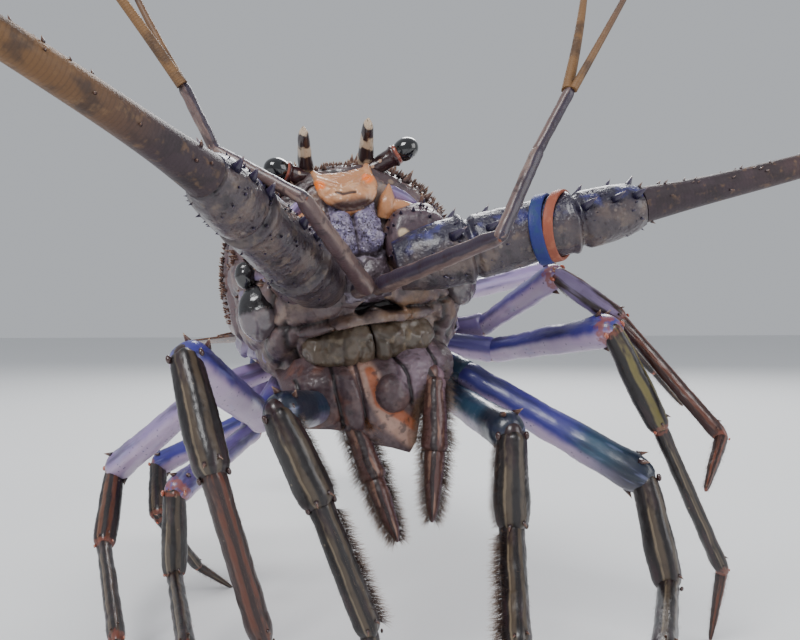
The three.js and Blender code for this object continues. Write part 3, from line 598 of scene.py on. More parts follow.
class Finish:
    """A material built up in layers of colour and of fine relief, with sizes in millimetres."""

    def __init__(self, name, colour, roughness, coat=0.0, under_skin=0.0):
        self.material = bpy.data.materials.new(name)
        self.material.use_nodes = True
        self.tree = self.material.node_tree
        self.shader = self.tree.nodes["Principled BSDF"]
        self.shader.inputs["Roughness"].default_value = roughness
        self.shader.inputs["Coat Weight"].default_value = coat
        self.shader.inputs["Coat Roughness"].default_value = 0.16
        self.shader.inputs["Subsurface Weight"].default_value = under_skin
        self.shader.inputs["Subsurface Scale"].default_value = 1.5 * MM
        self.colour = linear(colour)
        self.height = None
        at = self.node("ShaderNodeTexCoord").outputs["Object"]
        self.place = self.node(
            "ShaderNodeVectorMath", {0: at, "Scale": 1 / MM}, operation="SCALE"
        ).outputs[0]

    def node(self, kind, inputs=None, **settings):
        return knot(self.tree, kind, inputs, **settings)

    def maths(self, operation, a, b=0.0):
        return self.node("ShaderNodeMath", {0: a, 1: b}, operation=operation).outputs[0]

    def fade(self, value, low, high):
        """Nought below low, one above high and smooth between; low may be the larger."""
        inputs = {0: value, 1: min(low, high), 2: max(low, high), 3: float(low > high), 4: float(low < high)}
        return self.node("ShaderNodeMapRange", inputs, interpolation_type="SMOOTHSTEP").outputs[0]

    def clouds(self, size, detail=3.0, at=None):
        inputs = {"Vector": at or self.place, "Scale": 1 / size, "Detail": detail}
        return self.node("ShaderNodeTexNoise", inputs).outputs[0]

    def cells(self, size, at=None):
        """The distance to the nearest of scattered points that lie about that far apart."""
        return self.node(
            "ShaderNodeTexVoronoi", {"Vector": at or self.place, "Scale": 1 / size}
        ).outputs["Distance"]

    def lie(self):
        """Millimetres along the piece, and the share of the way round it."""
        uv = self.node("ShaderNodeUVMap", uv_map="Lie").outputs[0]
        apart = self.node("ShaderNodeSeparateXYZ", {0: uv})
        return apart.outputs[0], apart.outputs[1]

    def mark(self, name="tint"):
        return self.node("ShaderNodeAttribute", attribute_name=name).outputs[2]

    def stripe(self, middle, half, soft=0.03, wobble=0.03, size=9.0):
        """A stripe along the piece, at that share of the way round."""
        around = self.lie()[1]
        shake = self.maths("MULTIPLY", self.maths("SUBTRACT", self.clouds(size), 0.5), wobble * 4)
        turn = self.maths("ADD", self.maths("SUBTRACT", around, middle), shake)
        wave = self.maths("COSINE", self.maths("MULTIPLY", turn, 2 * math.pi))
        edge = math.cos(2 * math.pi * min(half + soft, 0.5))
        return self.fade(wave, edge, math.cos(2 * math.pi * half))

    def streaks(self, length, count, detail=3.0):
        """Clouds drawn out along the piece: their length, and how many lie round it."""
        along, around = self.lie()
        far = self.maths("MULTIPLY", along, 1 / length)
        turn = self.maths("MULTIPLY", around, 2 * math.pi)
        aside = self.maths("MULTIPLY", self.maths("COSINE", turn), count / 6)
        deep = self.maths("MULTIPLY", self.maths("SINE", turn), count / 6)
        at = self.node("ShaderNodeCombineXYZ", {0: far, 1: aside, 2: deep}).outputs[0]
        return self.clouds(1.0, detail, at)

    def lay(self, colour, mask, share=1.0):
        """Lays a colour over what is there, as strongly as the mask."""
        if isinstance(share, bpy.types.NodeSocket) or share != 1.0:
            mask = self.maths("MULTIPLY", mask, share)
        mixed = self.node(
            "ShaderNodeMix", {0: mask, 6: self.colour, 7: linear(colour)}, data_type="RGBA"
        )
        self.colour = mixed.outputs[2]
        return self

    def raise_by(self, height, millimetres):
        scaled = self.maths("MULTIPLY", height, millimetres)
        self.height = scaled if self.height is None else self.maths("ADD", self.height, scaled)
        return self

    def done(self):
        if isinstance(self.colour, tuple):
            self.shader.inputs["Base Color"].default_value = self.colour
        else:
            self.tree.links.new(self.colour, self.shader.inputs["Base Color"])
        if self.height is not None:
            bump = self.node("ShaderNodeBump", {"Height": self.height, "Distance": MM}).outputs[0]
            self.tree.links.new(bump, self.shader.inputs["Normal"])
        return self.material


def shell_finish():
    """Hard chitin with a waxy gloss: mauve and brown clouds, pale spots and a lavender rim."""
    f = Finish("chitin of the carapace", "#5b484c", 0.4, coat=0.35, under_skin=0.04)
    f.lay("#7d6860", f.fade(f.clouds(16), 0.48, 0.68), 0.6)
    f.lay("#6e3f34", f.fade(f.clouds(13, 3), 0.52, 0.7), 0.55)
    f.lay("#2a2027", f.fade(f.clouds(7, 4), 0.53, 0.66), 0.75)
    f.lay("#b99c84", f.fade(f.cells(9), 0.17, 0.09), 0.7)
    f.lay("#857a9e", f.fade(f.mark(), 0.15, 0.9), 0.7)
    f.lay("#0e090d", f.fade(f.mark(), -0.15, -0.7))
    f.raise_by(f.clouds(1.6, 4), 0.4)
    f.raise_by(f.fade(f.cells(2.4), 0.5, 0.1), 0.3)
    return f.done()


def breast_finish():
    """Thinner chitin under the body: tan and mauve, clouded with dark brown."""
    f = Finish("chitin of the breast", "#8a6f66", 0.45, coat=0.25, under_skin=0.1)
    f.lay("#bda58f", f.fade(f.clouds(12), 0.47, 0.66), 0.75)
    f.lay("#4b3840", f.fade(f.clouds(6, 4), 0.5, 0.66), 0.8)
    f.lay("#b86a4a", f.fade(f.clouds(19, 2), 0.56, 0.7), 0.6)
    f.raise_by(f.clouds(1.8, 4), 0.4)
    return f.done()


def horn_finish():
    """Smooth dense chitin over the eyes, in bands of dark brown and cream."""
    f = Finish("banded horn", "#2b191b", 0.3, coat=0.5)
    along, _ = f.lie()
    shaken = f.maths("ADD", along, f.maths("MULTIPLY", f.maths("SUBTRACT", f.clouds(3.5), 0.5), 7))
    for low, high, share in ((8, 13.5, 0.6), (18.5, 23.5, 0.85), (28.2, 40, 0.9)):
        inside = f.maths("MULTIPLY", f.fade(shaken, low, low + 1.2), f.fade(shaken, high, high - 1.2))
        f.lay("#cdb59a", inside, share)
    f.lay("#a9683f", f.fade(along, 6, 2), 0.8)
    f.lay("#1a0f12", f.fade(f.clouds(1.8, 4), 0.6, 0.7), 0.6)
    f.raise_by(f.clouds(1.2, 3), 0.15)
    return f.done()


def stalk_finish():
    """The eyes' short stalks: dark maroon, with pale spots and a thin red-brown rim."""
    f = Finish("maroon eyestalk chitin", "#32161b", 0.28, coat=0.5)
    f.lay("#c9a084", f.fade(f.cells(4.5), 0.2, 0.12), 0.75)
    along, _ = f.lie()
    f.lay("#9a4c36", f.fade(along, 9.8, 10.6), 0.75)
    f.raise_by(f.clouds(1, 3), 0.1)
    return f.done()


def plate_finish():
    """The shield between the eyes: warm orange-tan chitin with two brighter spots, and painted shade in its slit, its
    low crease and under its lower lip.
    """
    f = Finish("orange-tan shield", "#b27a52", 0.36, coat=0.4, under_skin=0.06)
    f.lay("#cf9f78", f.fade(f.clouds(7), 0.46, 0.64), 0.7)
    f.lay("#7c5140", f.fade(f.clouds(3.5, 4), 0.55, 0.72), 0.55)
    f.lay("#e9731c", f.fade(f.mark(), 0.3, 1.0), 0.95)
    # Painted shade in the slit, the low crease and under the lower lip; a small patch at the top middle is darkened
    # too.
    f.lay("#3d2a2a", f.fade(f.mark(), -0.15, -0.9), 0.9)
    f.raise_by(f.clouds(1.1, 4), 0.25)
    return f.done()


def block_finish():
    """Granular lavender-grey chitin below the shield, dark brown between its grains, with its ledge and cleft left dark
    as painted shade.
    """
    f = Finish("granular lavender-grey chitin", "#4a3d44", 0.45, coat=0.25)
    # No lavender on the ledge and the cleft: they keep the dark base as painted shade.
    f.lay("#756c8c", f.fade(f.mark(), 0.2, 0.8), 0.85)
    f.lay("#a99fae", f.fade(f.clouds(4), 0.5, 0.66), 0.5)
    f.lay("#3a2d38", f.fade(f.clouds(2.6, 4), 0.56, 0.7), 0.5)
    f.lay("#a9a1b8", f.maths("MULTIPLY", f.fade(f.cells(1.5), 0.3, 0.15), f.fade(f.mark(), 0.2, 0.8)), 0.5)
    f.raise_by(f.fade(f.cells(1.5), 0.55, 0.1), 0.2)
    return f.done()


def face_finish():
    """Smooth grey-mauve plates round the mouth, clouded brown, with painted shade in the creases."""
    f = Finish("grey-mauve face chitin", "#604f50", 0.42, coat=0.25, under_skin=0.05)
    f.lay("#8a7669", f.fade(f.clouds(9), 0.46, 0.66), 0.75)
    f.lay("#80603f", f.fade(f.clouds(12, 2), 0.54, 0.68), 0.6)
    f.lay("#2a2026", f.fade(f.clouds(5, 4), 0.52, 0.68), 0.7)
    f.lay("#9c8b7e", f.fade(f.cells(6), 0.13, 0.06), 0.45)
    f.lay("#7d7296", f.fade(f.mark(), 0.2, 1.0), 0.7)
    # Painted shade in the creases, the mouth gap and the hollow of the mouth; the face below the mouth is darkened too.
    f.lay("#130c10", f.fade(f.mark(), -0.15, -0.9), 0.95)
    f.raise_by(f.clouds(1.4, 4), 0.35)
    return f.done()


def mouth_finish():
    """The biting plates: thick olive-tan chitin, polished by use, with painted shade in the creases and the middle gap
    and darker outer ends.
    """
    f = Finish("polished olive-brown chitin", "#5c4e40", 0.38, coat=0.3, under_skin=0.06)
    f.lay("#453b31", f.fade(f.clouds(9), 0.46, 0.62), 0.7)
    f.lay("#85735c", f.fade(f.clouds(4.5), 0.54, 0.66), 0.6)
    f.lay("#46342c", f.fade(f.clouds(3.6, 4), 0.54, 0.68), 0.75)
    # Painted shade in the creases and the middle gap; the outer ends are darkened too.
    f.lay("#2a1d1a", f.fade(f.mark(), 0.2, 1.2), 0.75)
    f.raise_by(f.clouds(2.4, 3), 0.4)
    return f.done()


def flesh_finish():
    """Soft wet skin in the joints and round the mouth, orange-pink."""
    f = Finish("orange-pink joint skin", "#84462f", 0.35, coat=0.4, under_skin=0.2)
    f.lay("#b5745a", f.fade(f.clouds(2.2), 0.5, 0.66), 0.6)
    f.lay("#3c1e20", f.fade(f.clouds(1.7, 4), 0.46, 0.6), 0.85)
    f.raise_by(f.clouds(0.9, 3), 0.35)
    return f.done()


def palp_finish():
    """The folds and palps under the mouth: dark purple-brown, clouded with red-brown."""
    f = Finish("purple-brown palp chitin", "#4c3a3e", 0.48, coat=0.2, under_skin=0.05)
    f.lay("#6e5754", f.fade(f.clouds(7), 0.48, 0.66), 0.7)
    f.lay("#7a4c3a", f.fade(f.clouds(10, 2), 0.56, 0.7), 0.5)
    f.lay("#7d6b77", f.fade(f.mark("joint"), -0.15, -0.7), 0.75)
    f.lay("#b08c7c", f.fade(f.mark(), 0.35, 0.9), 0.85)
    f.lay("#a8572c", f.fade(f.mark("joint"), 0.3, 0.9), 0.85)
    f.lay("#2a1c22", f.fade(f.clouds(3.5, 4), 0.54, 0.68), 0.65)
    # Painted shade along the fold creases.
    f.lay("#171015", f.fade(f.mark(), -0.15, -0.8), 0.9)
    f.raise_by(f.clouds(1.4, 4), 0.35)
    return f.done()


def wet_finish():
    """Wet skin in the cheeks: glossy; the big lobes' tops are painted nearly black as shade for the hollow above them,
    the small lobes are nearly black, and the rest is smooth grey.
    """
    f = Finish("wet dark cheek skin", "#5d5358", 0.16, coat=0.9, under_skin=0.05)
    f.lay("#857a78", f.fade(f.clouds(6), 0.48, 0.64), 0.6)
    # Nearly black: painted shade on the big lobes' tops, and the small lobes all over.
    f.lay("#0c090d", f.fade(f.maths("ADD", f.mark(), f.clouds(5)), 0.85, 1.15), 0.97)
    f.raise_by(f.clouds(2.5, 3), 0.35)
    return f.done()


def condyle_finish():
    """The smooth hinge knobs of the legs, pale pink to orange."""
    f = Finish("pink hinge knobs", "#a2553e", 0.25, coat=0.6, under_skin=0.15)
    f.lay("#d0a08a", f.fade(f.clouds(1.6), 0.5, 0.64), 0.7)
    return f.done()


def antenna_finish():
    """The antennas' stout stems: indigo above, dusky mauve-brown with soft blotches below."""
    f = Finish("indigo and mottled brown chitin", "#40363c", 0.42, coat=0.3, under_skin=0.03)
    f.lay("#66564f", f.fade(f.clouds(10, 4), 0.47, 0.66), 0.75)
    f.lay("#7a6858", f.fade(f.clouds(4.5, 4), 0.56, 0.7), 0.45)
    f.lay("#1d161e", f.fade(f.clouds(7, 4), 0.52, 0.68), 0.75)
    f.lay("#94857a", f.fade(f.cells(9), 0.1, 0.05), 0.5)
    f.lay("#1c1830", f.stripe(0.02, 0.15, 0.1, 0.06, 10), 0.9)
    veins = f.maths("MULTIPLY", f.stripe(0.03, 0.13, 0.08), f.fade(f.clouds(7, 4), 0.52, 0.68))
    f.lay("#37377c", veins, 0.7)
    f.raise_by(f.clouds(1.5, 4), 0.45)
    f.raise_by(f.fade(f.cells(2.6), 0.45, 0.1), 0.3)
    return f.done()


def root_finish():
    """The plates that the antennas turn in: mauve-brown, with a pale round spot on each."""
    f = Finish("mauve-brown antenna root", "#4a3942", 0.42, coat=0.3, under_skin=0.04)
    f.lay("#6c5b5f", f.fade(f.clouds(8), 0.46, 0.66), 0.7)
    f.lay("#6e4f3e", f.fade(f.clouds(11, 2), 0.54, 0.7), 0.6)
    f.lay("#281d26", f.fade(f.clouds(5, 4), 0.53, 0.67), 0.75)
    f.lay("#d8c09c", f.fade(f.mark(), 0.3, 0.9), 0.9)
    f.raise_by(f.clouds(1.5, 4), 0.35)
    return f.done()


def lash_finish(name, root, far, full, thin):
    """A whip of horny rings, dark near the root, with painted shade in the fine groove between the rings."""
    f = Finish(name, root, 0.58, coat=0.04)
    size = f.maths("MULTIPLY", f.mark("size"), 1 / MM)
    f.lay(far, f.fade(size, full, thin), 0.95)
    f.lay("#1d1216", f.fade(f.clouds(9, 4), 0.48, 0.64), 0.6)
    f.lay("#8a6a48", f.fade(f.clouds(3, 4), 0.54, 0.72), 0.35)
    # Painted shade in the grooves between the rings.
    f.lay("#150c0e", f.fade(f.mark("tip"), 0.0, -1.0), 0.2)
    f.raise_by(f.clouds(1.2, 4), 0.25)
    return f.done()


def antennule_finish():
    """The thin first antennas: brown-mauve, with a dark indigo stripe along each joint."""
    f = Finish("striped antennule chitin", "#66524f", 0.42, coat=0.2, under_skin=0.06)
    f.lay("#88736a", f.fade(f.streaks(14, 6), 0.48, 0.6), 0.7)
    f.lay("#2a2134", f.stripe(0.12, 0.1, 0.04), 0.92)
    f.lay("#4a343a", f.stripe(0.6, 0.12, 0.05), 0.8)
    f.lay("#2c1d24", f.fade(f.clouds(4, 4), 0.54, 0.66), 0.7)
    f.raise_by(f.clouds(1.2, 3), 0.15)
    return f.done()


def mouth_leg_finish():
    """The feelers under the mouth: reddish brown with dark stripes under the bristles, and pale streaks that are partly
    mottling and partly painted highlight.
    """
    f = Finish("striped red-brown chitin", "#52332f", 0.4, coat=0.35)
    # Pale streaks, partly mottling and partly painted highlight.
    f.lay("#8a6655", f.fade(f.streaks(9, 9), 0.5, 0.62), 0.75)
    f.lay("#1e1216", f.stripe(0.03, 0.03, 0.02), 0.9)
    f.lay("#2a1a24", f.stripe(0.28, 0.07), 0.85)
    f.lay("#7a6076", f.stripe(0.8, 0.05), 0.6)
    f.raise_by(f.clouds(1.4, 4), 0.3)
    return f.done()


def merus_finish():
    """The long upper joints: violet-blue above, deepening to teal, pale lavender below."""
    f = Finish("blue to lavender chitin", "#3a3884", 0.36, coat=0.35, under_skin=0.04)
    f.lay("#947fab", f.fade(f.mark(), 0.4, 0.05), 0.9)
    f.lay("#27495a", f.fade(f.mark(), 0.6, 0.9), 0.9)
    # Near black: the dark knees of the front legs, and the right first leg's merus as painted shade.
    f.lay("#131828", f.fade(f.mark(), 0.95, 1.35), 0.9)
    f.lay("#22223f", f.fade(f.streaks(26, 8, 4), 0.46, 0.66), 0.65)
    f.lay("#b09ab8", f.stripe(0.5, 0.19, 0.09, 0.02), f.fade(f.mark(), 1.5, 0.6))
    f.lay("#8a90b8", f.fade(f.streaks(18, 12, 3), 0.56, 0.7), 0.35)
    dashes = f.maths("MULTIPLY", f.stripe(0.5, 0.24, 0.06), f.fade(f.cells(2.6), 0.2, 0.1))
    f.lay("#3c3658", dashes, 0.7)
    f.lay("#8a4a34", f.fade(f.maths("ADD", f.mark("joint"), f.clouds(1.8, 4)), 1.25, 1.5), 0.75)
    f.raise_by(f.streaks(10, 14, 4), 0.35)
    return f.done()


def leg_finish():
    """The lower joints: near-black maroon with paired tan stripes that run down the shin."""
    f = Finish("maroon chitin with tan stripes", "#110a0c", 0.4, coat=0.25)
    f.lay("#2b1a1f", f.fade(f.streaks(16, 7, 4), 0.48, 0.66), 0.85)
    worn = f.fade(f.streaks(9, 9, 4), 0.7, 0.44)
    near = f.stripe(0.075, 0.022, 0.035, 0.014)
    far = f.stripe(0.925, 0.018, 0.03, 0.014)
    both = f.maths("MULTIPLY", f.maths("MAXIMUM", near, far), worn)
    f.lay("#4c4033", both, 0.9)
    f.lay("#7a6c58", f.maths("MULTIPLY", f.stripe(0.1, 0.004, 0.012, 0.014), worn), 0.7)
    f.lay("#3f352f", f.maths("MULTIPLY", f.stripe(0.3, 0.02, 0.03), worn), 0.6)
    f.lay("#3c3136", f.maths("MULTIPLY", f.stripe(0.7, 0.02, 0.03), worn), 0.6)
    f.lay("#6e3218", f.maths("MULTIPLY", both, f.fade(f.mark(), 0.2, 0.9)), 0.85)
    f.lay("#38160f", f.fade(f.mark(), 0.5, 1.3), 0.5)
    f.lay("#6c6330", f.maths("MULTIPLY", both, f.fade(f.mark(), -0.2, -0.9)), 0.85)
    f.lay("#7a4030", f.fade(f.maths("ADD", f.mark("joint"), f.clouds(1.6, 4)), 1.2, 1.48), 0.7)
    f.lay("#8f7fa6", f.maths("MULTIPLY", f.fade(f.mark(), 1.6, 2.0), f.fade(f.streaks(22, 8), 0.38, 0.55)), 0.9)
    f.lay("#8f806c", f.fade(f.cells(7), 0.08, 0.04), 0.4)
    f.raise_by(f.streaks(8, 12, 4), 0.45)
    return f.done()


def spine_finish(name, root, middle, tip):
    """Hard sharp spines that grow paler towards the tip."""
    f = Finish(name, root, 0.35, coat=0.4)
    f.lay(middle, f.fade(f.mark("tip"), 0.1, 0.6), 0.85)
    f.lay(tip, f.fade(f.mark("tip"), 0.7, 1.0), 0.8)
    return f.done()


def bristle_finish(name, root, tip):
    """Stiff setae that catch the light at their tips."""
    f = Finish(name, root, 0.5)
    f.lay(tip, f.fade(f.mark("tip"), 0.3, 1.0), 0.9)
    return f.done()


def tail_finish():
    """The abdomen's rings: brown chitin with pale round spots and a light rear edge."""
    f = Finish("spotted brown chitin", "#553d36", 0.38, coat=0.4, under_skin=0.04)
    f.lay("#7a5a48", f.fade(f.clouds(15), 0.46, 0.64), 0.8)
    f.lay("#2c2028", f.fade(f.clouds(7, 4), 0.53, 0.66), 0.7)
    f.lay("#3b3a62", f.fade(f.clouds(22, 2), 0.58, 0.72), 0.5)
    f.lay("#dcc59c", f.fade(f.cells(15), 0.14, 0.11), 0.85)
    f.lay("#a0744e", f.fade(f.mark(), 0.3, 0.9), 0.75)
    f.raise_by(f.clouds(1.6, 4), 0.35)
    return f.done()


def fan_finish():
    """The tail fan's blades: stiff and brown at the root, leathery and orange at the edge."""
    f = Finish("ribbed leathery fan", "#4a342e", 0.42, coat=0.3, under_skin=0.1)
    f.lay("#6e4a34", f.fade(f.mark(), 0.35, 0.8), 0.8)
    f.lay("#2c2130", f.fade(f.clouds(9, 4), 0.5, 0.64), 0.7)
    f.lay("#c8a47c", f.fade(f.cells(10), 0.14, 0.09), 0.6)
    f.lay("#1f1a2a", f.fade(f.mark(), 0.8, 0.86), 0.6)
    f.lay("#b06f3c", f.fade(f.mark(), 0.92, 0.98), 0.85)
    f.raise_by(f.clouds(1.4, 4), 0.25)
    return f.done()


def rubber_finish(name, colour, worn):
    """A flat rubber band, dull and a little dusty, with a faint fine bump."""
    f = Finish(name, colour, 0.55)
    f.lay(worn, f.fade(f.clouds(3, 4), 0.5, 0.7), 0.5)
    f.raise_by(f.clouds(0.7, 3), 0.12)
    return f.done()


SHELL = shell_finish()
BREAST = breast_finish()
HORN = horn_finish()
STALK = stalk_finish()
FACE = face_finish()
PLATE = plate_finish()
BLOCK = block_finish()
MOUTH = mouth_finish()
FLESH = flesh_finish()
CONDYLE = condyle_finish()
WET = wet_finish()
PALP = palp_finish()
# Hard smooth knobs of the front legs, as dark as the shell round them.
DARK_KNOB = Finish("dark hinge knobs", "#3d2624", 0.25, coat=0.6).done()
# The folded skin in the front legs' joints, dark maroon and a little wet.
DARK_SKIN = Finish("dark joint skin", "#2a1619", 0.35, coat=0.4, under_skin=0.1).done()
ANTENNA = antenna_finish()
ANTENNA_ROOT_SKIN = root_finish()
BROWN_LASH = lash_finish("brown ringed whip", "#33242c", "#54392f", 5.2, 3.2)
TAN_LASH = lash_finish("golden-brown ringed whip", "#35262c", "#6f4d28", 5.4, 4.3)
THIN_LASH = lash_finish("thin ringed lash", "#7a5834", "#4a3430", 1.5, 0.7)
ANTENNULE = antennule_finish()
MOUTH_LEG = mouth_leg_finish()
MERUS = merus_finish()
LEG = leg_finish()
SPINE = spine_finish("brown spine", "#33262a", "#6a4a3c", "#b89878")
DARK_SPINE = spine_finish("indigo spine", "#1f1a33", "#3a3048", "#a08a86")
BROWN_BRISTLE = bristle_finish("brown setae", "#3f2a24", "#a98a70")
ORANGE_BRISTLE = bristle_finish("orange setae", "#4e2a1a", "#c07a40")
TAIL = tail_finish()
FAN = fan_finish()
# A smooth wet lens, almost black, that mirrors the lamps.
CORNEA = Finish("black cornea", "#07060a", 0.06, coat=1.0).done()
BLUE_RUBBER = rubber_finish("blue rubber", "#15226a", "#163f56")
ORANGE_RUBBER = rubber_finish("orange rubber", "#8a4630", "#ad6a4c")


# Spines and bristles

CHANCE = np.random.default_rng(7)


def spines(name, points, ways, lengths, nodes=(), thickness=0.26, finish=None):
    """Sharp cones that grow from points, each along its way."""
    inputs = {
        "Thickness": thickness,
        "Bend": 0.0,
        "Spread": 0.06,
        "Spin": 6.28,
        "Sides": 7,
        "Steps": 3,
        "Seed": 3,
        "Finish": finish or SPINE,
    }
    points = np.asarray(points) - unit(ways) * 0.12 * np.asarray(lengths)[:, None]
    piece = grown(name, points, SPIKES, inputs, unit(ways), lengths)
    return placed(piece, nodes)


def bristles(name, points, ways, lengths, roots, finish, thickness=0.022, bend=0.25):
    """Fine solid setae that grow from points of the skin; roots are their places on its map."""
    ways = unit(ways)
    reach = np.asarray(points)[:, 2] + (ways[:, 2] - 0.4) * np.asarray(lengths)
    above = reach > 0.3
    points, ways, lengths, roots = (np.asarray(each)[above] for each in (points, ways, lengths, roots))
    inputs = {
        "Thickness": thickness,
        "Bend": bend,
        "Spread": 0.22,
        "Spin": 6.28,
        "Sides": 3,
        "Steps": 3,
        "Seed": 5,
        "Finish": finish,
    }
    piece = grown(name, points, SPIKES, inputs, unit(ways), lengths, roots)
    return placed(piece, ())


# The trunk: the shell above, the breast below

def on_trunk(back, angle, grow=0.0):
    back, angle = np.broadcast_arrays(np.asarray(back, float), np.asarray(angle, float))
    rows = smooth(TRUNK, back.ravel()).reshape(*back.shape, 4)
    wide, top, level, under = np.moveaxis(rows, -1, 0)
    c, s = np.cos(angle), np.sin(angle)
    high = np.where(s > 0, top - level, level - under)
    power = 2 / np.where(s > 0, 2.1, 2.5)
    return in_body(
        (wide + grow) * np.sign(c) * np.abs(c) ** power,
        back,
        level + (high + grow) * np.sign(s) * np.abs(s) ** power,
    )


def edge_angle(back):
    """How far below the widest level the shell's lower edge lies, as an angle."""
    _, _, level, under = smooth(TRUNK, back).T
    depth = (level - (SHELL_FRONT + SHELL_SLOPE * np.asarray(back))) / (level - under)
    return -np.arcsin(np.clip(depth, 0.02, 1) ** 1.25)


def shell_relief(back, angle, edge):
    """The height of the shell's grooves, rims and swellings over the plain trunk."""
    side = np.abs(np.cos(angle))
    neck = 63 - 34 * side**3
    high = -2.4 * dent(back, neck, 2.4) + 0.9 * dent(back, neck + 5, 3.5)
    high += -0.9 * dent(side, 0.42, 0.035) * step(66, 74, back)
    high += 1.2 * dent(side, 0.0, 0.12) * step(66, 80, back)
    high += 1.5 * dent(edge, 2.2, 2.0) - 1.2 * dent(edge, 7.0, 2.4)
    high += 1.4 * dent(back, 111, 1.6) - 1.1 * dent(back, 107, 1.8)
    return high


def front_edge(angle):
    """How far back the shell's front edge lies: forward over the eyes, back on the cheeks."""
    return mix(-7, 15, step(0.35, -0.1, np.sin(angle)))


def carapace():
    rows, columns = 190, 170
    share = np.linspace(0, 1, columns)[None]
    start = front_edge(mix(-0.6, np.pi + 0.6, share))
    back = mix(start, 113, np.linspace(0, 1, rows)[:, None])
    low = edge_angle(back.ravel()).reshape(back.shape)
    angle = mix(low, np.pi - low, share)
    edge = np.minimum(share, 1 - share) * 190 + 0 * back
    front = back - start
    plain = on_trunk(back, angle)
    high = shell_relief(back, angle, edge)
    high += 0.5 * rough(plain, 16) + 0.22 * rough(plain, 4.5, 3)
    high += 1.3 * dent(front, 1.6, 1.8) - 0.9 * dent(front, 6, 2.2)
    brows = step(26, 4, front) * step(0.0, 0.4, np.sin(angle))
    high += brows * (0.9 * rough(plain, 6, 2) + 0.5 * rough(plain, 2.4, 6))
    top = on_trunk(back, angle, high)
    middle = in_body(0, back[:, [0, -1]], -30)
    inner = [
        top[:, [end]] + unit(middle[:, [end]] - top[:, [end]]) * depth
        for end, depth in ((-1, 1.6), (-1, 5.0), (0, 5.0), (0, 1.6))
    ]
    rings = np.concatenate([top, *inner], axis=1)
    tint = dent(edge, 0, 8) * step(4, 16, back) + 0.8 * dent(front, 0, 3) * step(0.7, 0.3, np.sin(angle))
    tint = tint - 0.42 * brows
    tint = np.concatenate([tint, np.ones((rows, 4))], axis=1)
    skin = Skin("carapace_shell").add(rings, SHELL, ends=(False, True), tint=tint)
    # a granular brow between the horns
    brow = bulb(in_body(0, -3.5, 0.5), (10.5, 5, 3.4), np.eye(3) @ BODY_TURN.T, 30, 60)
    skin.add(raised(brow, 0.35 * rough(brow, 2.0)), SHELL, tint=0.25)
    skin.done(("carapace",), "shell")


# Rows of large spines as in the solids: angle from the top, longest spine and spacing
SPINE_ROWS = ((13, 8, 13), (34, 6, 12), (55, 5, 12), (76, 4, 15))


def carapace_spines():
    back, angle, length = [], [], []
    for turn, longest, spacing in SPINE_ROWS:
        for side in SIDES.values():
            for at in np.arange(12 + turn % 10, 104, spacing):
                if abs(at - 63) > 3.5:
                    back.append(at)
                    angle.append(math.radians(90 - side * turn))
                    length.append(longest * mix(1, 0.45, at / 104))
    for turn, size in ((28, 7.5), (46, 6.5), (64, 5.5), (82, 4.5)):
        for side in SIDES.values():
            back.append(1.0)
            angle.append(math.radians(90 - side * turn))
            length.append(size)
    small = 1900
    back += list(CHANCE.uniform(-3, 109, small))
    turns = CHANCE.uniform(-100, 100, small)
    angle += list(np.radians(90 - turns))
    length += list(CHANCE.uniform(0.7, 1.0, small) ** 2 * mix(4.0, 1.7, np.array(back[-small:]) / 110))
    back, angle, length = np.array(back), np.array(angle), np.array(length)
    neck = 63 - 34 * np.abs(np.cos(angle)) ** 3
    bare = (np.abs(back - neck) < 4) | (np.sin(angle) < np.sin(edge_angle(back)) + 0.12)
    horn_foot = (np.abs(np.abs(np.cos(angle)) * 30 - 11) < 5) & (back < 12)
    keep = ~(bare | horn_foot)
    back, angle, length = back[keep], angle[keep], length[keep]
    at = on_trunk(back, angle, shell_relief(back, angle, np.full(len(back), 30.0)))
    out = unit(on_trunk(back, angle, 1.0) - on_trunk(back, angle))
    spines("carapace_spines", at, out + 0.9 * body_way(0, -1, 0.2), length, (), 0.3)


HORN_PATH = (
    (0, 11.3, 10, 1, 4.9),
    (8.2, 11.6, 4, 6.5, 4.4),
    (16.3, 12, -2, 12, 3.7),
    (23.7, 12.2, -8, 16.4, 3.1),
    (28.4, 12.3, -12, 18.8, 2.3),
    (31.2, 12.3, -14.2, 20.2, 0.5),
)


def horns():
    along = np.concatenate([np.linspace(0, 28, 50), 31.2 - 3.2 * np.linspace(1, 0, 12)[1:] ** 2])
    x, y, z, half = smooth(HORN_PATH, along).T
    for name, side in SIDES.items():
        path = in_body(side * x, y, z)
        rings = swept(path, half * 0.74, half, body_way(0, -0.6, 1), 32)
        rings = raised(rings, 0.12 * rough(rings, 3.5))
        Skin("horn_" + name).add(rings, HORN, along=along).done((), "shell")


def breast():
    rows, columns = 120, 90
    back = np.linspace(8, 112, rows)[:, None]
    low = edge_angle(back.ravel())[:, None]
    share = np.linspace(0, 1, columns)[None]
    angle = mix(-np.pi - low - 0.1, low + 0.1, share)
    middle = np.abs(share - 0.5)
    high = -1.6 + 0 * back * share
    high = high - 1.4 * dent(middle, 0, 0.03)
    for number in range(5):
        seam = LEG_ROOTS[number + 1][1] + 6
        high = high - 1.3 * dent(back, seam + 20 * middle, 1.4) * step(0.0, 0.06, middle)
    under = on_trunk(back, angle, high)
    under = raised(under, 0.3 * rough(under, 6), closed=False)
    Skin("breast_plates").add(under, BREAST).done(("breast",), "underside")


# The face from the front, with places across and up in millimetres

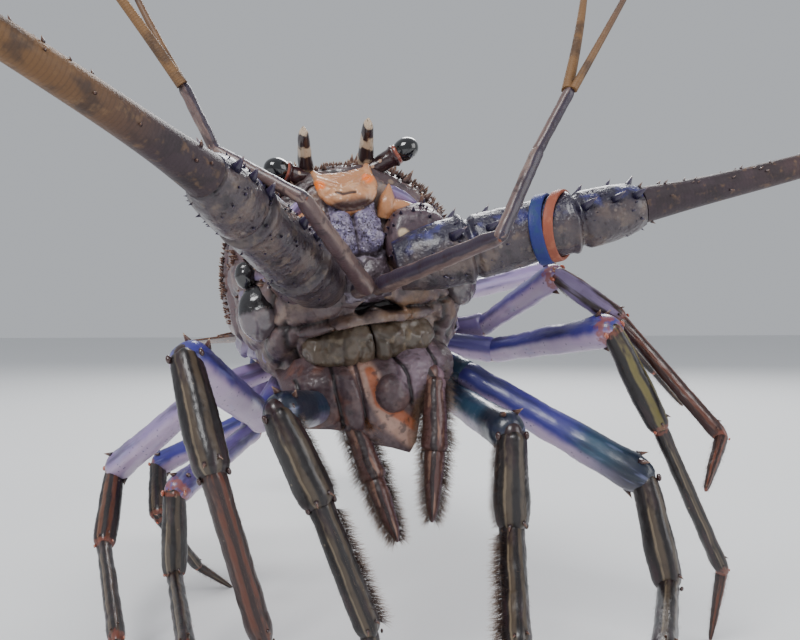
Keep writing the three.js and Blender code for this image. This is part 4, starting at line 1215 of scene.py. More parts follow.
def lump(x, z, middle, sizes, turn=0.0):
    """A dome: one at its middle, nought at its edge and beyond."""
    c, s = math.cos(math.radians(turn)), math.sin(math.radians(turn))
    a = ((x - middle[0]) * c + (z - middle[1]) * s) / sizes[0]
    b = ((z - middle[1]) * c - (x - middle[0]) * s) / sizes[1]
    return np.sqrt(np.clip(1 - a * a - b * b, 0, 1))


def crease(x, z, path, width):
    """One along a line through the points, fading to nothing over the width."""
    near = np.full(np.shape(x), 1e3)
    for (ax, az), (bx, bz) in zip(path, path[1:]):
        t = ((x - ax) * (bx - ax) + (z - az) * (bz - az)) / ((bx - ax) ** 2 + (bz - az) ** 2)
        t = np.clip(t, 0, 1)
        near = np.minimum(near, np.hypot(x - ax - t * (bx - ax), z - az - t * (bz - az)))
    return dent(near, 0, width)


# Plates and folds of one half of the face: middle, half sizes, turn and height
FACE_LUMPS = (
    ((0, -42), (15, 6.5), 0, 3.4),
    ((20.5, -43), (12.5, 8.2), 8, 4.6),
    ((20.5, -34.5), (3.4, 3.0), 0, 4.8),
    ((31.5, -53), (5.5, 11), 24, 4.2),
    ((38, -44), (8.5, 12.5), 8, 3.2),
    ((43, -27), (5, 6.5), 0, 3.0),
    ((37, -62), (9, 10), -30, 2.8),
    ((0, -53.4), (27, 3.6), 0, 5.2),
    ((17, -72), (17, 6.5), 18, 4.6),
    ((5.5, -71), (9, 7), -15, 5.2),
    ((29, -69), (12, 6), 35, 3.4),
)
# Creases of one half of the face: their points, width and depth
FACE_CREASES = (
    (((31, -36), (25, -34.5), (15, -37)), 1.0, 1.5),
    (((33, -48), (25, -51), (15, -50.5)), 0.9, 1.9),
    (((28.5, -48), (29, -56), (26, -66)), 1.2, 1.6),
    (((31, -33), (33, -45), (36, -55), (32, -62)), 1.3, 1.4),
    (((4, -68), (2.5, -74), (0, -81)), 1.2, 1.3),
    (((12, -68), (16, -73), (14, -80)), 1.1, 1.2),
    (((22, -67), (26, -73), (28, -79)), 1.1, 1.0),
    (((33, -66), (40, -63), (44, -55)), 1.3, 1.0),
)


def face():
    """The plates round the mouth: one surface over the front of the trunk."""
    sides = 400
    angle = (2 * np.pi * np.arange(sides) / sides)[None]
    share = np.linspace(0.03, 1, 70)[:, None]
    rim = on_trunk(-7.0, angle)
    middle = in_body(0, -7, -40)
    disc = middle + (rim - middle) * share[..., None] + body_way(0, -1, 0) * (3.5 * (1 - share**3))[..., None]
    around = on_trunk(np.linspace(-6.6, 24, 62)[:, None], angle, -1.0 * np.linspace(0, 1, 62)[:, None])
    rings = np.concatenate([disc, around])
    flat = (rings - HEAD) @ BODY_TURN
    x, z = flat[..., 0], flat[..., 2]
    half = np.abs(x + 0.8)
    high = np.zeros(x.shape)
    for place, sizes, turn, height in FACE_LUMPS:
        high = np.maximum(high, height * lump(half, z, place, sizes, turn))
    # dark is painted shade in the creases, the mouth gap and the hollow of the mouth; it also darkens the face below
    # the mouth.
    dark = np.zeros(x.shape)
    for path, width, depth in FACE_CREASES:
        line = crease(half, z, path, width)
        high = high - depth * line
        dark = np.maximum(dark, line)
    torn = rough(rings, 2.8, 9)
    gap = lump(x, z, (-0.5, -47.6), (6.5, 2.2), 28) + lump(x, z, (5.5, -48.4), (7.5, 2.2), -22)
    gap = step(0.25, 0.6, gap + 0.22 * torn)
    high = high - 4.5 * gap
    mouth = lump(x, z, (-0.8, -61), (27, 8.2), -2)
    high = high - 3.6 * step(0.1, 0.7, mouth)
    dark = np.maximum(0.75 * dark, np.maximum(gap, 0.8 * step(0.1, 0.5, mouth)))
    dark = np.maximum(dark, 0.55 * step(-66, -78, z) + 0 * x)
    high = high + 0.6 * rough(rings, 8) + 0.35 * torn * 0.6 + 0.12 * rough(rings, 1.4, 4)
    pale = 0.35 * step(30, 42, half) * (1 - dark)
    skin = Skin("face_plates")
    # The finish lays near black where dark is high: painted shade.
    skin.add(raised(rings, high), FACE, ends=(True, False), tint=pale - dark)
    skin.done((), "underside")
    wet = Skin("cheek_lobes")
    for side in SIDES.values():
        axes = (body_way(side * 0.94, 0.3, 0.12), body_way(-side * 0.1, 0, 1), body_way(side * 0.3, -0.95, 0))
        lobe = bulb(in_body(side * 39.4, 4.0, -42.5), (7.4, 10.6, 5.6), axes, 26, 44)
        # The upper part of each big lobe is painted nearly black, as shade for the hollow above it.
        wet.add(raised(lobe, 0.35 * rough(lobe, 4)), WET, tint=step(-47, -37, (lobe - HEAD) @ BODY_TURN[:, 2]))
        lobe = bulb(in_body(side * 41, 6, -27.5), (4.2, 5.4, 4.4), axes, 20, 32)
        wet.add(raised(lobe, 0.3 * rough(lobe, 3)), WET, tint=1.0)
    wet.done((), "underside")


def limblet(skin, points, radii, finish, sides=24, rows=40, hint=(0, -1, 0), depth=1.0, ripple=0.06):
    """A short soft limb or a tooth through a few points of the body, rounded at its end."""
    points = in_body(*np.array(points, float).T)
    gaps = np.linalg.norm(np.diff(points, axis=0), axis=1)
    distance = np.concatenate([[0], np.cumsum(gaps)])
    at = distance[-1] * np.sin(np.linspace(0, 0.5 * np.pi, rows))
    table = np.column_stack([distance, points, radii])
    x, y, z, size = smooth(table, at).T
    rings = swept(np.column_stack([x, y, z]), size * depth, size, body_way(*hint), sides)
    rings = raised(rings, ripple * max(radii) * rough(rings, max(radii)))
    skin.add(rings, finish, along=at)
    return rings


# The lower edge of the folds under the mandibles: places across and up
FOLD_EDGE = (
    (-36, -80), (-31, -88), (-22, -90), (-13, -93), (-8.7, -98), (-1, -101), (5, -104), (8.5, -100),
    (12, -91), (20, -86), (30, -78),
)
# Their swellings: middle, half sizes, turn and height
FOLD_LUMPS = (
    ((-24, -75), (12.5, 14), 0, 3.4),
    ((-33, -84), (4.5, 4), 20, 3.6),
    ((-13.4, -80), (4.2, 13), 6, 4.6),
    ((2.2, -81.5), (6.6, 7.2), 10, 5.4),
    ((13.5, -74), (8.2, 13), -12, 4.6),
    ((24, -71), (7.5, 12), -14, 3.6),
)
FOLD_LINES = (
    ((-18, -66), (-18.4, -76), (-17, -90)),
    ((-9, -68), (-9, -78), (-9, -90)),
    ((5.5, -67), (8.6, -76), (9, -86)),
    ((19, -64), (21, -74), (19, -84)),
    ((-31, -70), (-30, -78), (-28, -84)),
)


def mouth_palps():
    """The folds and palps that hang under the mandibles, and the soft skin between them."""
    edge_x, edge_z = np.array(FOLD_EDGE, float).T

    def place(u, v):
        x = mix(-36, 30, (u + 1) / 2) + 0 * v
        z = mix(-62, np.interp(x, edge_x, edge_z), v)
        y = mix(1, -7, step(-62, -74, z)) + 13 * np.abs((x + 2) / 35) ** 2.4
        y = y + 9 * step(22, 34, np.abs(x + 2)) * step(-72, -62, z)
        return in_body(x, y, z)

    out = body_way(0, -1, 0)
    rings, u, v = leaf(place, out, lambda u, v: mix(9, 1.6, v**2) + 0 * u, 100, 160)
    flat = (rings - HEAD) @ BODY_TURN
    x, z = flat[..., 0], flat[..., 2]
    high = np.zeros(x.shape)
    for middle, sizes, turn, height in FOLD_LUMPS:
        high = np.maximum(high, height * lump(x, z, middle, sizes, turn))
    lines = np.max([crease(x, z, path, 0.8) for path in FOLD_LINES], axis=0)
    high = high - 1.2 * lines + 0.5 * rough(rings, 5) + 0.25 * rough(rings, 1.8)
    palp = step(0.05, 0.3, lump(x, z, (2.2, -81.5), (6.6, 7.2), 10))
    soft = crease(x, z, ((-7, -70), (-3.5, -80), (1, -91), (7, -98)), 5.0) * (1 - palp)
    warm = crease(x, z, ((-4.5, -72), (-3, -84), (4, -90), (9, -95)), 2.2) * (1 - palp)
    mauve = lump(x, z, (14, -72), (12, 15)) * (1 - soft)
    front = np.arange(rings.shape[1])[None] < 160
    skin = Skin("mouth_palps")
    rings = rings + out * (high * front)[..., None]
    # The fold lines are darkened as painted shade.
    skin.add(rings, PALP, tint=1.3 * soft - lines, joint=1.2 * warm - 0.8 * mauve)
    skin.done((), "mouth_leg")
    at, ways, roots = [], [], []
    for side in SIDES.values():
        number = 500
        t = CHANCE.uniform(0, 1, number)
        x = side * mix(14, 8, t) + CHANCE.normal(0, 2.2, number)
        at.append(in_body(x, -7 - 2 * t, mix(-82, -92, t)))
        ways.append(body_way(-side * 0.35 + CHANCE.normal(0, 0.35, number), -0.4, -0.8))
        share = 0.5 if side > 0 else 0
        roots.append(np.column_stack([0.05 + 0.9 * t, CHANCE.uniform(0.05, 0.45, number) + share]))
    at, ways, roots = np.concatenate(at), np.concatenate(ways), np.concatenate(roots)
    lengths = CHANCE.uniform(1.5, 4, len(at))
    bristles("mouth_palp_setae", at, ways, lengths, roots, ORANGE_BRISTLE, 0.012)


# The shield between the eyes, and the block below it

PLATE_PROFILE = ((0, 2, 3), (8, -6, 4.4), (14, -10.5, 0.5), (24, -15.8, -8), (30, -15, -14), (44, -1, -14.5))
BLOCK_PROFILE = ((0, 0, -8), (12, -12, -9), (24, -14.4, -20), (38, -15.6, -34), (50, -13, -46), (63, 0, -46))


def slab(profile, half_width, rows, columns, roundness, cup=0.0):
    """A grid over a profile: share across from -1 to 1, and millimetres down the profile.

    Its lower corners are rounded over that length, and its top edge is cupped that deep."""
    down = np.linspace(profile[0][0], profile[-1][0], rows)[None]
    across = np.linspace(-1, 1, columns)[:, None]
    y, z = smooth(profile, down.ravel()).T
    edge = np.abs(across) ** 6
    low = roundness[0] + roundness[1]
    round_off = np.sqrt(np.clip(1 - (np.clip(down - roundness[0], 0, None) / roundness[1]) ** 2, 0.12, 1))
    round_off = np.where(down > low, 0.35, round_off)
    y = y[None] + 2.6 * edge
    z = z[None] + cup * (across**2 - 0.5) * step(16, 0, down)
    place = in_body(across * half_width * round_off, y, z)
    return place, across + 0 * down, down + 0 * across


def head_plate():
    skin = Skin("head_shield")
    place, across, down = slab(PLATE_PROFILE, 11.2, 150, 110, (19, 9), 4.5)
    flat = (place - HEAD) @ BODY_TURN
    x, z = flat[..., 0], flat[..., 2]
    folds = [crease(x, z, ((-9.5, 1.5 - d), (-2.6, -3.4 - d), (-0.6, -3.6 - d), (8.2, 0.2 - d)), 0.6) for d in (0, 2.1)]
    slit = crease(x, z, ((-5.2, -6.2), (-3.2, -7.4), (1.6, -7.2)), 0.5)
    low = crease(x, z, ((-9, -10.4), (0, -12.6), (9, -11)), 1.0)
    high = 0.8 * folds[0] + 0.9 * folds[1] - 0.9 * slit - 1.0 * low
    high += 1.6 * lump(x, z, (0, -8), (9.5, 5.5)) + 0.9 * dent(np.abs(across), 0.9, 0.09)
    high += 0.3 * rough(place, 3.2) + 0.1 * rough(place, 1.2)
    spot = dent(np.hypot(np.abs(x + 0.9) - 9.0, z + 1.6), 0, 2.3)
    # The slit, the low crease and the turn under the lower lip are darkened as painted shade.
    tint = 1.3 * spot - 1.2 * slit - 0.9 * low - 0.9 * dent(down, 27, 2.2)
    tint = tint - 0.3 * dent(down, 4, 3.5) * dent(across, 0, 0.5)
    skin.add(raised(place, high), PLATE, tint=tint)
    place, across, down = slab(BLOCK_PROFILE, 9.4, 170, 110, (50, 30))
    flat = (place - HEAD) @ BODY_TURN
    x, z = flat[..., 0], flat[..., 2]
    x = x + 0.6
    lobes = 2.6 * lump(np.abs(x), z, (4.8, -20.5), (5.2, 8.6), 5) + 1.2 * lump(np.abs(x), z, (6.6, -26.5), (3.6, 4.2))
    cleft = crease(x, z, ((0, -15), (0, -31)), 1.0)
    ledge = crease(x, z, ((-10, -27.5), (-6, -31), (0, -29.4), (6, -31), (10, -27.5)), 0.9)
    high = lobes - 1.1 * cleft - 2.0 * ledge + 1.5 * lump(np.abs(x), z, (5, -38), (5.5, 6))
    grain = step(-31, -28, z)
    high += grain * 0.35 * rough(place, 1.1) + 0.3 * rough(place, 2.6)
    # The ledge and the cleft are kept dark as painted shade: no lavender on them.
    dark = np.maximum(ledge, 0.7 * cleft)
    skin.add(raised(place, high), BLOCK, tint=grain * (1 - dark) * step(0.98, 0.85, np.abs(across)))
    skin.done(("head_plate",), "head_plate")
    grains = np.argwhere((z > -29) & (z < -14.5) & (np.abs(across) < 0.86) & (dark < 0.3))
    i, j = grains[CHANCE.integers(0, len(grains), 420)].T
    top = raised(place, high)
    out = normals_of(place)[i, j]
    size = CHANCE.uniform(0.3, 0.6, len(i))
    spines("head_grains", top[i, j], out, size, (), 0.5, BLOCK)
    teeth = Skin("head_teeth")
    for side in SIDES.values():
        tooth = ((side * 12.6, -9, -16), (side * 13.6, -11, -12), (side * 15.4, -10, -7.5), (side * 16.3, -9.5, -4.2))
        limblet(teeth, tooth, (3.8, 3.4, 1.9, 0.4), PLATE)
        lobe = ((side * 12, -3, -5), (side * 17, -6, -7), (side * 22, -7, -10.5), (side * 26.5, -7, -13.5))
        limblet(teeth, lobe, (2.0, 3.0, 2.6, 0.8), MERUS, 28, 44, (0, -0.5, 1), 0.6)
        edge = ((side * 15, -9.5, -13), (side * 20, -10.5, -15), (side * 26, -9, -16))
        limblet(teeth, edge, (3.6, 3.4, 1.6), PLATE, 28, 44)
    teeth.done((), "head_plate")
    at = in_body([27.4, -27.4], [-9, -9], [-14, -14])
    spines("head_spines", at, np.tile(body_way(0.1, -0.5, 1), (2, 1)), [6, 6], (), 0.3)


# Eyes

STALK_ROOT = (12.5, 1, 4.5)
EYE_RADIUS = 4.7


def eyes():
    for name, side in SIDES.items():
        eye = in_body(*EYES[name])
        root = in_body(side * STALK_ROOT[0], *STALK_ROOT[1:])
        way = unit(eye - root)
        share = np.linspace(-0.05, 0.86, 40)
        path = root + (eye - root) * share[:, None]
        half = 3.2 + 1.1 * share**2 + 0.5 * dent(share, 0.68, 0.05) - 1.4 * step(0.78, 0.86, share)
        rings = swept(path, half, half, body_way(0, -1, 0.3), 40)
        rings = raised(rings, 0.14 * rough(rings, 2.5))
        Skin("stalk_" + name).add(rings, STALK, along=share * 14).done(("eyestalk_" + name,), "horn")
        first, second = frame_of(way, body_way(0, -1, 0.2))
        ball = bulb(eye, (EYE_RADIUS * 0.94, EYE_RADIUS * 0.94, EYE_RADIUS * 1.12), (first, second, way), 28, 44)
        Skin("cornea_" + name).add(ball, CORNEA).done(("eye_" + name,), "cornea")




# The second antennas

BASE_MIDDLE = (22.5, -28)
BASE_SIZES = ((0, 2, 10, 13), (8, -6, 13, 15), (16, -14, 12, 13.5), (21, -18.5, 9.4, 10.5), (23, -20, 6, 7))


def antenna_base(name, side):
    along = np.linspace(0, 23, 60)
    y, wide, high = smooth(BASE_SIZES, along).T
    angle = 2 * np.pi * np.arange(72) / 72
    c, s = np.cos(angle), np.sin(angle)
    x = wide[:, None] * np.sign(c) * np.abs(c) ** (2 / 2.4)
    z = high[:, None] * np.sign(s) * np.abs(s) ** (2 / 2.4)
    rings = in_body(side * (BASE_MIDDLE[0] + x), y[:, None] + 0 * x, BASE_MIDDLE[1] + z)
    rings = raised(rings, 0.7 * rough(rings, 7) + 0.25 * rough(rings, 2.5))
    flat = (rings - HEAD) @ BODY_TURN
    spot = dent(np.hypot(np.abs(flat[..., 0]) - 15.6, flat[..., 2] + 25.1), 0, 2.0)
    skin = Skin("antenna_root_" + name).add(rings, ANTENNA_ROOT_SKIN, tint=1.4 * spot, along=along)
    skin.done(("antenna_base_" + name,), "antenna")
    number = 70
    i = CHANCE.integers(25, 58, number)
    j = CHANCE.integers(0, 72, number)
    out = normals_of(rings)[i, j]
    size = CHANCE.uniform(1.0, 3.0, number)
    forward = out + body_way(0, -0.7, 0.2)
    spines("antenna_root_spines_" + name, rings[i, j], forward, size, (), 0.3, DARK_SPINE)


def peduncle_frame(name):
    side = SIDES[name]
    way = heading(*ANTENNA_POSES[name][0])
    root = in_body(side * ANTENNA_ROOT[0], *ANTENNA_ROOT[1:])
    up, across = frame_of(way, np.array([0.0, 0.0, 1.0]))
    return root, way, up, across


# Spines on the joints of an antenna's base: along, degrees from the top, and length
ARM_SPINES = tuple(
    (along, turn, size)
    for along, size in ((14, 8), (27, 6.5), (38, 8), (62, 7), (73, 6), (81, 6.5))
    for turn in (65, -20)
)


def antenna_arm(name):
    side = SIDES[name]
    root, way, up, across = peduncle_frame(name)
    along = np.linspace(-8, 84, 190)
    half = smooth(PEDUNCLE, along).ravel()
    path = root + way * along[:, None]
    rings = swept(path, half * 0.94, half, up, 64)
    angle = 2 * np.pi * np.arange(64) / 64
    ridge = 0.35 * np.maximum(np.cos(4 * angle), 0)[None] * step(2, 8, along)[:, None]
    joint = dent(along, 20, 1.3) + dent(along, 60, 1.3)
    collar = dent(along, 17.5, 1.2) + dent(along, 57.5, 1.2) - 0.8 * step(79, 84, along)
    high = ridge + (0.7 * collar - 0.7 * joint)[:, None] + 0.3 * rough(rings, 12) + 0.12 * rough(rings, 2.6)
    rings = raised(rings, high)
    Skin("antenna_stem_" + name).add(rings, ANTENNA, along=along + 8).done(("antenna_arm_" + name,), "antenna")
    at, ways, sizes = [], [], []
    spots_list = [(a, t, s) for a, t, s in ARM_SPINES]
    for _ in range(150):
        spots_list.append((CHANCE.uniform(2, 82), CHANCE.uniform(-180, 180), CHANCE.uniform(0.8, 2.2)))
    for a, turn, size in spots_list:
        if name == "left" and 35 < a < 61:
            continue
        out = up * math.cos(math.radians(turn)) + across * math.sin(math.radians(turn)) * side
        wide = float(smooth(PEDUNCLE, a)[0, 0])
        at.append(root + way * a + out * wide * 0.97)
        ways.append(out + 0.9 * way)
        sizes.append(size)
    spines("antenna_spines_" + name, at, ways, sizes, (), 0.27, DARK_SPINE)


def flagellum_path(name):
    root, middle, tip = ANTENNA_POSES[name][1]
    base, way, _, _ = peduncle_frame(name)
    points = [base + way * (PEDUNCLE_LENGTH + 0.3)]
    for along in np.arange(0, FLAGELLUM_LENGTH, FLAGELLUM_STEP):
        t = along / FLAGELLUM_LENGTH
        a, b, u = (root, middle, t * 2) if t < 0.5 else (middle, tip, t * 2 - 1)
        points.append(points[-1] + heading(mix(a[0], b[0], u), mix(a[1], b[1], u)) * FLAGELLUM_STEP)
    points = np.array(points)
    distance = np.arange(len(points)) * FLAGELLUM_STEP
    fine = np.linspace(0, distance[-1], 240)
    return fine, smooth(np.column_stack([distance, points]), fine)


def ribbed(name, path, sizes, spacing, depth, sides, finish, nodes):
    inputs = {"Spacing": spacing * MM, "Depth": depth, "Sides": sides, "Finish": finish}
    edges = [(i, i + 1) for i in range(len(path) - 1)]
    piece = grown(name, path, RIBS, inputs, sizes=sizes, edges=edges)
    return placed(piece, nodes)


def flagellum(name):
    along, path = flagellum_path(name)
    sizes = smooth(FLAGELLUM_SIZES, along).ravel()
    finish = BROWN_LASH if name == "left" else TAN_LASH
    nodes = ("antenna_inner_" + name, "antenna_outer_" + name)
    ribbed("antenna_whip_" + name, path, sizes, 1.3, 0.0025, 18, finish, nodes)
    number = 90
    i = (CHANCE.uniform(0, 1, number) ** 1.3 * 150).astype(int)
    way = unit(np.gradient(path, axis=0))[i]
    turn = CHANCE.uniform(-1, 1, (number, 3)) + [0, 0, 0.6]
    out = unit(turn - way * np.sum(turn * way, axis=1, keepdims=True))
    size = CHANCE.uniform(0.9, 2.2, number) * sizes[i] / 5
    spines("antenna_whip_spines_" + name, path[i] + out * sizes[i][:, None], out + 1.1 * way, size, (), 0.3)


# The first antennas

def antennule_points(name):
    points = [in_body(SIDES[name] * ANTENNULE_ROOT[0], *ANTENNULE_ROOT[1:])]
    for pose, length in zip(ANTENNULE_POSES[name], ANTENNULE_LENGTHS):
        points.append(points[-1] + heading(*pose) * length)
    return points


def joint_rings(start, end, radius, table, hint, depth=1.0, sides=32, rows=48, ridges=0.0):
    """One joint of a limb, thin at its root and full at its far end, as rings and shares."""
    table = np.asarray(table, float)
    share = np.linspace(table[0, 0], table[-1, 0], rows)
    size = smooth(table, share).ravel() * radius
    path = start + (end - start) * share[:, None]
    rings = swept(path, size, size * depth, hint, sides)
    angle = 2 * np.pi * np.arange(sides) / sides
    high = ridges * radius * (np.cos(4 * angle + 0.4)[None] * np.ones((rows, 1)))
    high = high + 0.05 * radius * rough(rings, radius * 1.6) + 0.018 * radius * rough(rings, 1.4, 5)
    return raised(rings, high), share


LIMB = ((-0.05, 0.5), (-0.02, 0.8), (0.03, 0.9), (0.12, 0.86), (0.4, 0.93), (0.82, 1.02), (0.93, 1.07), (0.98, 0.96), (1.02, 0.7), (1.035, 0.4))
FRONT = np.array([-0.1, -0.8, 0.6])  # the side of a limb that its stripes are set from


def antennules():
    for name, side in SIDES.items():
        points = antennule_points(name)
        skin = Skin("antennule_stem_" + name)
        socket = in_body(side * ANTENNULE_SOCKET[0], *ANTENNULE_SOCKET[1:])
        path = socket + (points[0] - socket) * np.linspace(-0.1, 1.0, 20)[:, None]
        half = ANTENNULE_RADII[0] * (0.98 - 0.1 * dent(np.linspace(0, 1, 20), 0.55, 0.2))
        skin.add(swept(path, half, half, FRONT, 28), ANTENNULE)
        for i, radius in enumerate(ANTENNULE_RADII):
            narrow = 0.66 if i == 0 else 0.9
            table = [(s, w * mix(1.12, narrow, np.clip(s, 0, 1))) for s, w in LIMB]
            rings, share = joint_rings(points[i], points[i + 1], radius, table, FRONT, 1.0, 28, 60, 0.03)
            skin.add(rings, ANTENNULE, along=share * ANTENNULE_LENGTHS[i])
            if i:
                skin.add(bulb(points[i], [radius * 0.9] * 3, np.eye(3), 12, 18), FLESH)
        skin.done(("antennule_" + name,), "antennule")
        pose = LASH_POSES[name]
        _, across = frame_of(heading(*pose), np.array([0.0, 0, 1]))
        for which, spread, half, aside in (("outer", (14, -6), (1.9, 0.8), 1.1), ("inner", (-14, 6), (1.4, 0.5), -1.1)):
            steps = 6
            path = [points[-1] - across * aside]
            for i in range(1, steps + 1):
                t = i / steps
                way = heading(pose[0] + spread[0] * (1 + t), pose[1] + spread[1] * t)
                path.append(path[-1] + way * LASH_LENGTH / steps)
            distance = np.arange(steps + 1) * LASH_LENGTH / steps
            fine = np.linspace(0, LASH_LENGTH, 80)
            path = smooth(np.column_stack([distance, path]), fine)
            sizes = mix(half[0], half[1], fine / LASH_LENGTH)
            title = "antennule_" + name + "_" + which
            lash = "antennule_lash_" + name + "_" + which
            ribbed(lash, path, sizes, 0.9, 0.012, 10, THIN_LASH, (title,))


# Mouthparts

def mandibles():
    skin = Skin("mandible_plates")
    table = ((-25, 2), (-21.5, 5.8), (-14, 7.6), (-5, 8.4), (0, 8.5), (5, 8.4), (14, 7.6), (21.5, 5.8), (25, 2))
    for side in SIDES.values():
        x = np.linspace(0.2, 25, 110)
        half = smooth(table, x).ravel() - 0.9 * dent(x, 0, 1.0)
        path = in_body(side * x - 0.8, -4 + 5 * (x / 25) ** 2, -60.8 - 0.6 * x / 25)
        rings = swept(path, half, half * 1.02, body_way(0, -1, 0), 100)
        flat = (rings - HEAD) @ BODY_TURN
        wide, z = np.abs(flat[..., 0] + 0.8), flat[..., 2]
        folds = [
            crease(wide, z, ((1.5, -60), (5, -62.5), (6.5, -68)), 0.9),
            0.6 * crease(wide, z, ((8, -55), (12, -60), (12, -67)), 1.0),
            0.5 * crease(wide, z, ((19, -55), (20, -61), (19, -66)), 1.0),
        ]
        lines = np.max(folds, axis=0)
        high = 0.9 * rough(rings, 7, side * 5.0) + 0.35 * rough(rings, 2.8) - 0.8 * lines
        # The middle gap and the creases are darkened as painted shade; the outer ends are darkened too.
        tint = np.maximum(dent(x, 0, 1.1)[:, None], 0.7 * lines)
        tint = np.maximum(tint, 0.8 * step(21, 25, x)[:, None])
        skin.add(raised(rings, high), MOUTH, tint=tint, along=x)
    skin.done(("mandibles",), "mouth")


MAXILLIPEDS = {
    "left": ((9, 16, -68), (19, -9, -80), (13, -13, -105), (7, -13.5, -129)),
    "right": ((-9, 16, -68), (-13, -3, -89), (-10, -8, -111), (-7, -14, -133)),
}


def maxillipeds():
    for name in SIDES:
        points = [in_body(*p) for p in MAXILLIPEDS[name]]
        skin = Skin("mouth_feeler_" + name)
        at, ways, roots = [], [], []
        for i, radius in enumerate((5.2, 4.6, 3.8)):
            table = LIMB if i < 2 else ((-0.05, 0.5), (0, 0.9), (0.15, 0.98), (0.5, 0.85), (0.8, 0.6), (0.95, 0.35), (1.03, 0.1))
            rings, share = joint_rings(points[i], points[i + 1], radius, table, FRONT, 1.05, 32, 44, 0.03)
            skin.add(rings, MOUTH_LEG, along=share * np.linalg.norm(points[i + 1] - points[i]))
            out = normals_of(rings)
            number = (500, 1100, 1300)[i]
            r = CHANCE.integers(2, len(rings) - 2, number)
            for side_on in (0.25, 0.75):
                c = (side_on * 32 + CHANCE.normal(0, 2.6, number)).astype(int) % 32
                at.append(rings[r, c])
                ways.append(out[r, c] + 0.5 * unit(points[i + 1] - points[i]))
                roots.append(np.column_stack([(i + share[r]) / 3 * 0.9 + 0.05, 0.05 + 0.9 * c / 32]))
        skin.done(("maxilliped_" + name,), "mouth_leg")
        at, ways, roots = np.concatenate(at), np.concatenate(ways), np.concatenate(roots)
        lengths = CHANCE.uniform(2.2, 5.5, len(at))
        bristles("mouth_feeler_setae_" + name, at, ways, lengths, roots, BROWN_BRISTLE, 0.013)


# Legs

def leg_points(name):
    number = int(name[-1])
    side = SIDES[name[:-2]]
    x, y, z = LEG_ROOTS[number]
    steps, tip, lifted = POSES[name]
    lengths = LEG_LENGTHS[number]
    points = [in_body(side * x, y, z)]
    for pose, length in zip(steps, lengths):
        points.append(points[-1] + heading(*pose) * length)
    drop = min(1, (points[-1][2] + FLOOR_SINK) / lengths[4])
    slope = -math.degrees(math.asin(drop)) if lifted is None else lifted
    points.append(points[-1] + heading(tip, slope) * lengths[4])
    return points


CARPUS = (
    (-0.05, 0.5), (-0.02, 0.74), (0.05, 0.86), (0.25, 0.94), (0.6, 1.02), (0.85, 0.99), (0.96, 0.9), (1.02, 0.66),
    (1.035, 0.4),
)
UP = np.array([0.0, -0.25, 1.0])
DACTYL = ((-0.05, 0.5), (0, 0.85), (0.08, 1.02), (0.3, 0.92), (0.6, 0.74), (0.85, 0.5), (0.97, 0.3), (1.0, 0.16))
# How blue and dark each merus is, and how orange, or below nought how olive, the stripes of
# the three joints of each lower leg are
# right_1's merus is set so dark that it is near black: painted shade.
MERUS_TINT = {"left_1": 0.9, "left_2": 0.62, "left_3": 0.5, "left_4": 0.3, "left_5": 0.05,
              "right_1": 1.2, "right_2": 0.3, "right_3": 0.1, "right_4": 0.25, "right_5": 0.6}
ORANGE_TINT = {
    "left_3": (-0.9, -0.2, 0.9),
    "left_4": (2.0, 1.3, 0.9),
    "right_2": (0.25, 1.1, 0.8),
    "right_3": (0.6, 0.3, 0.3),
}


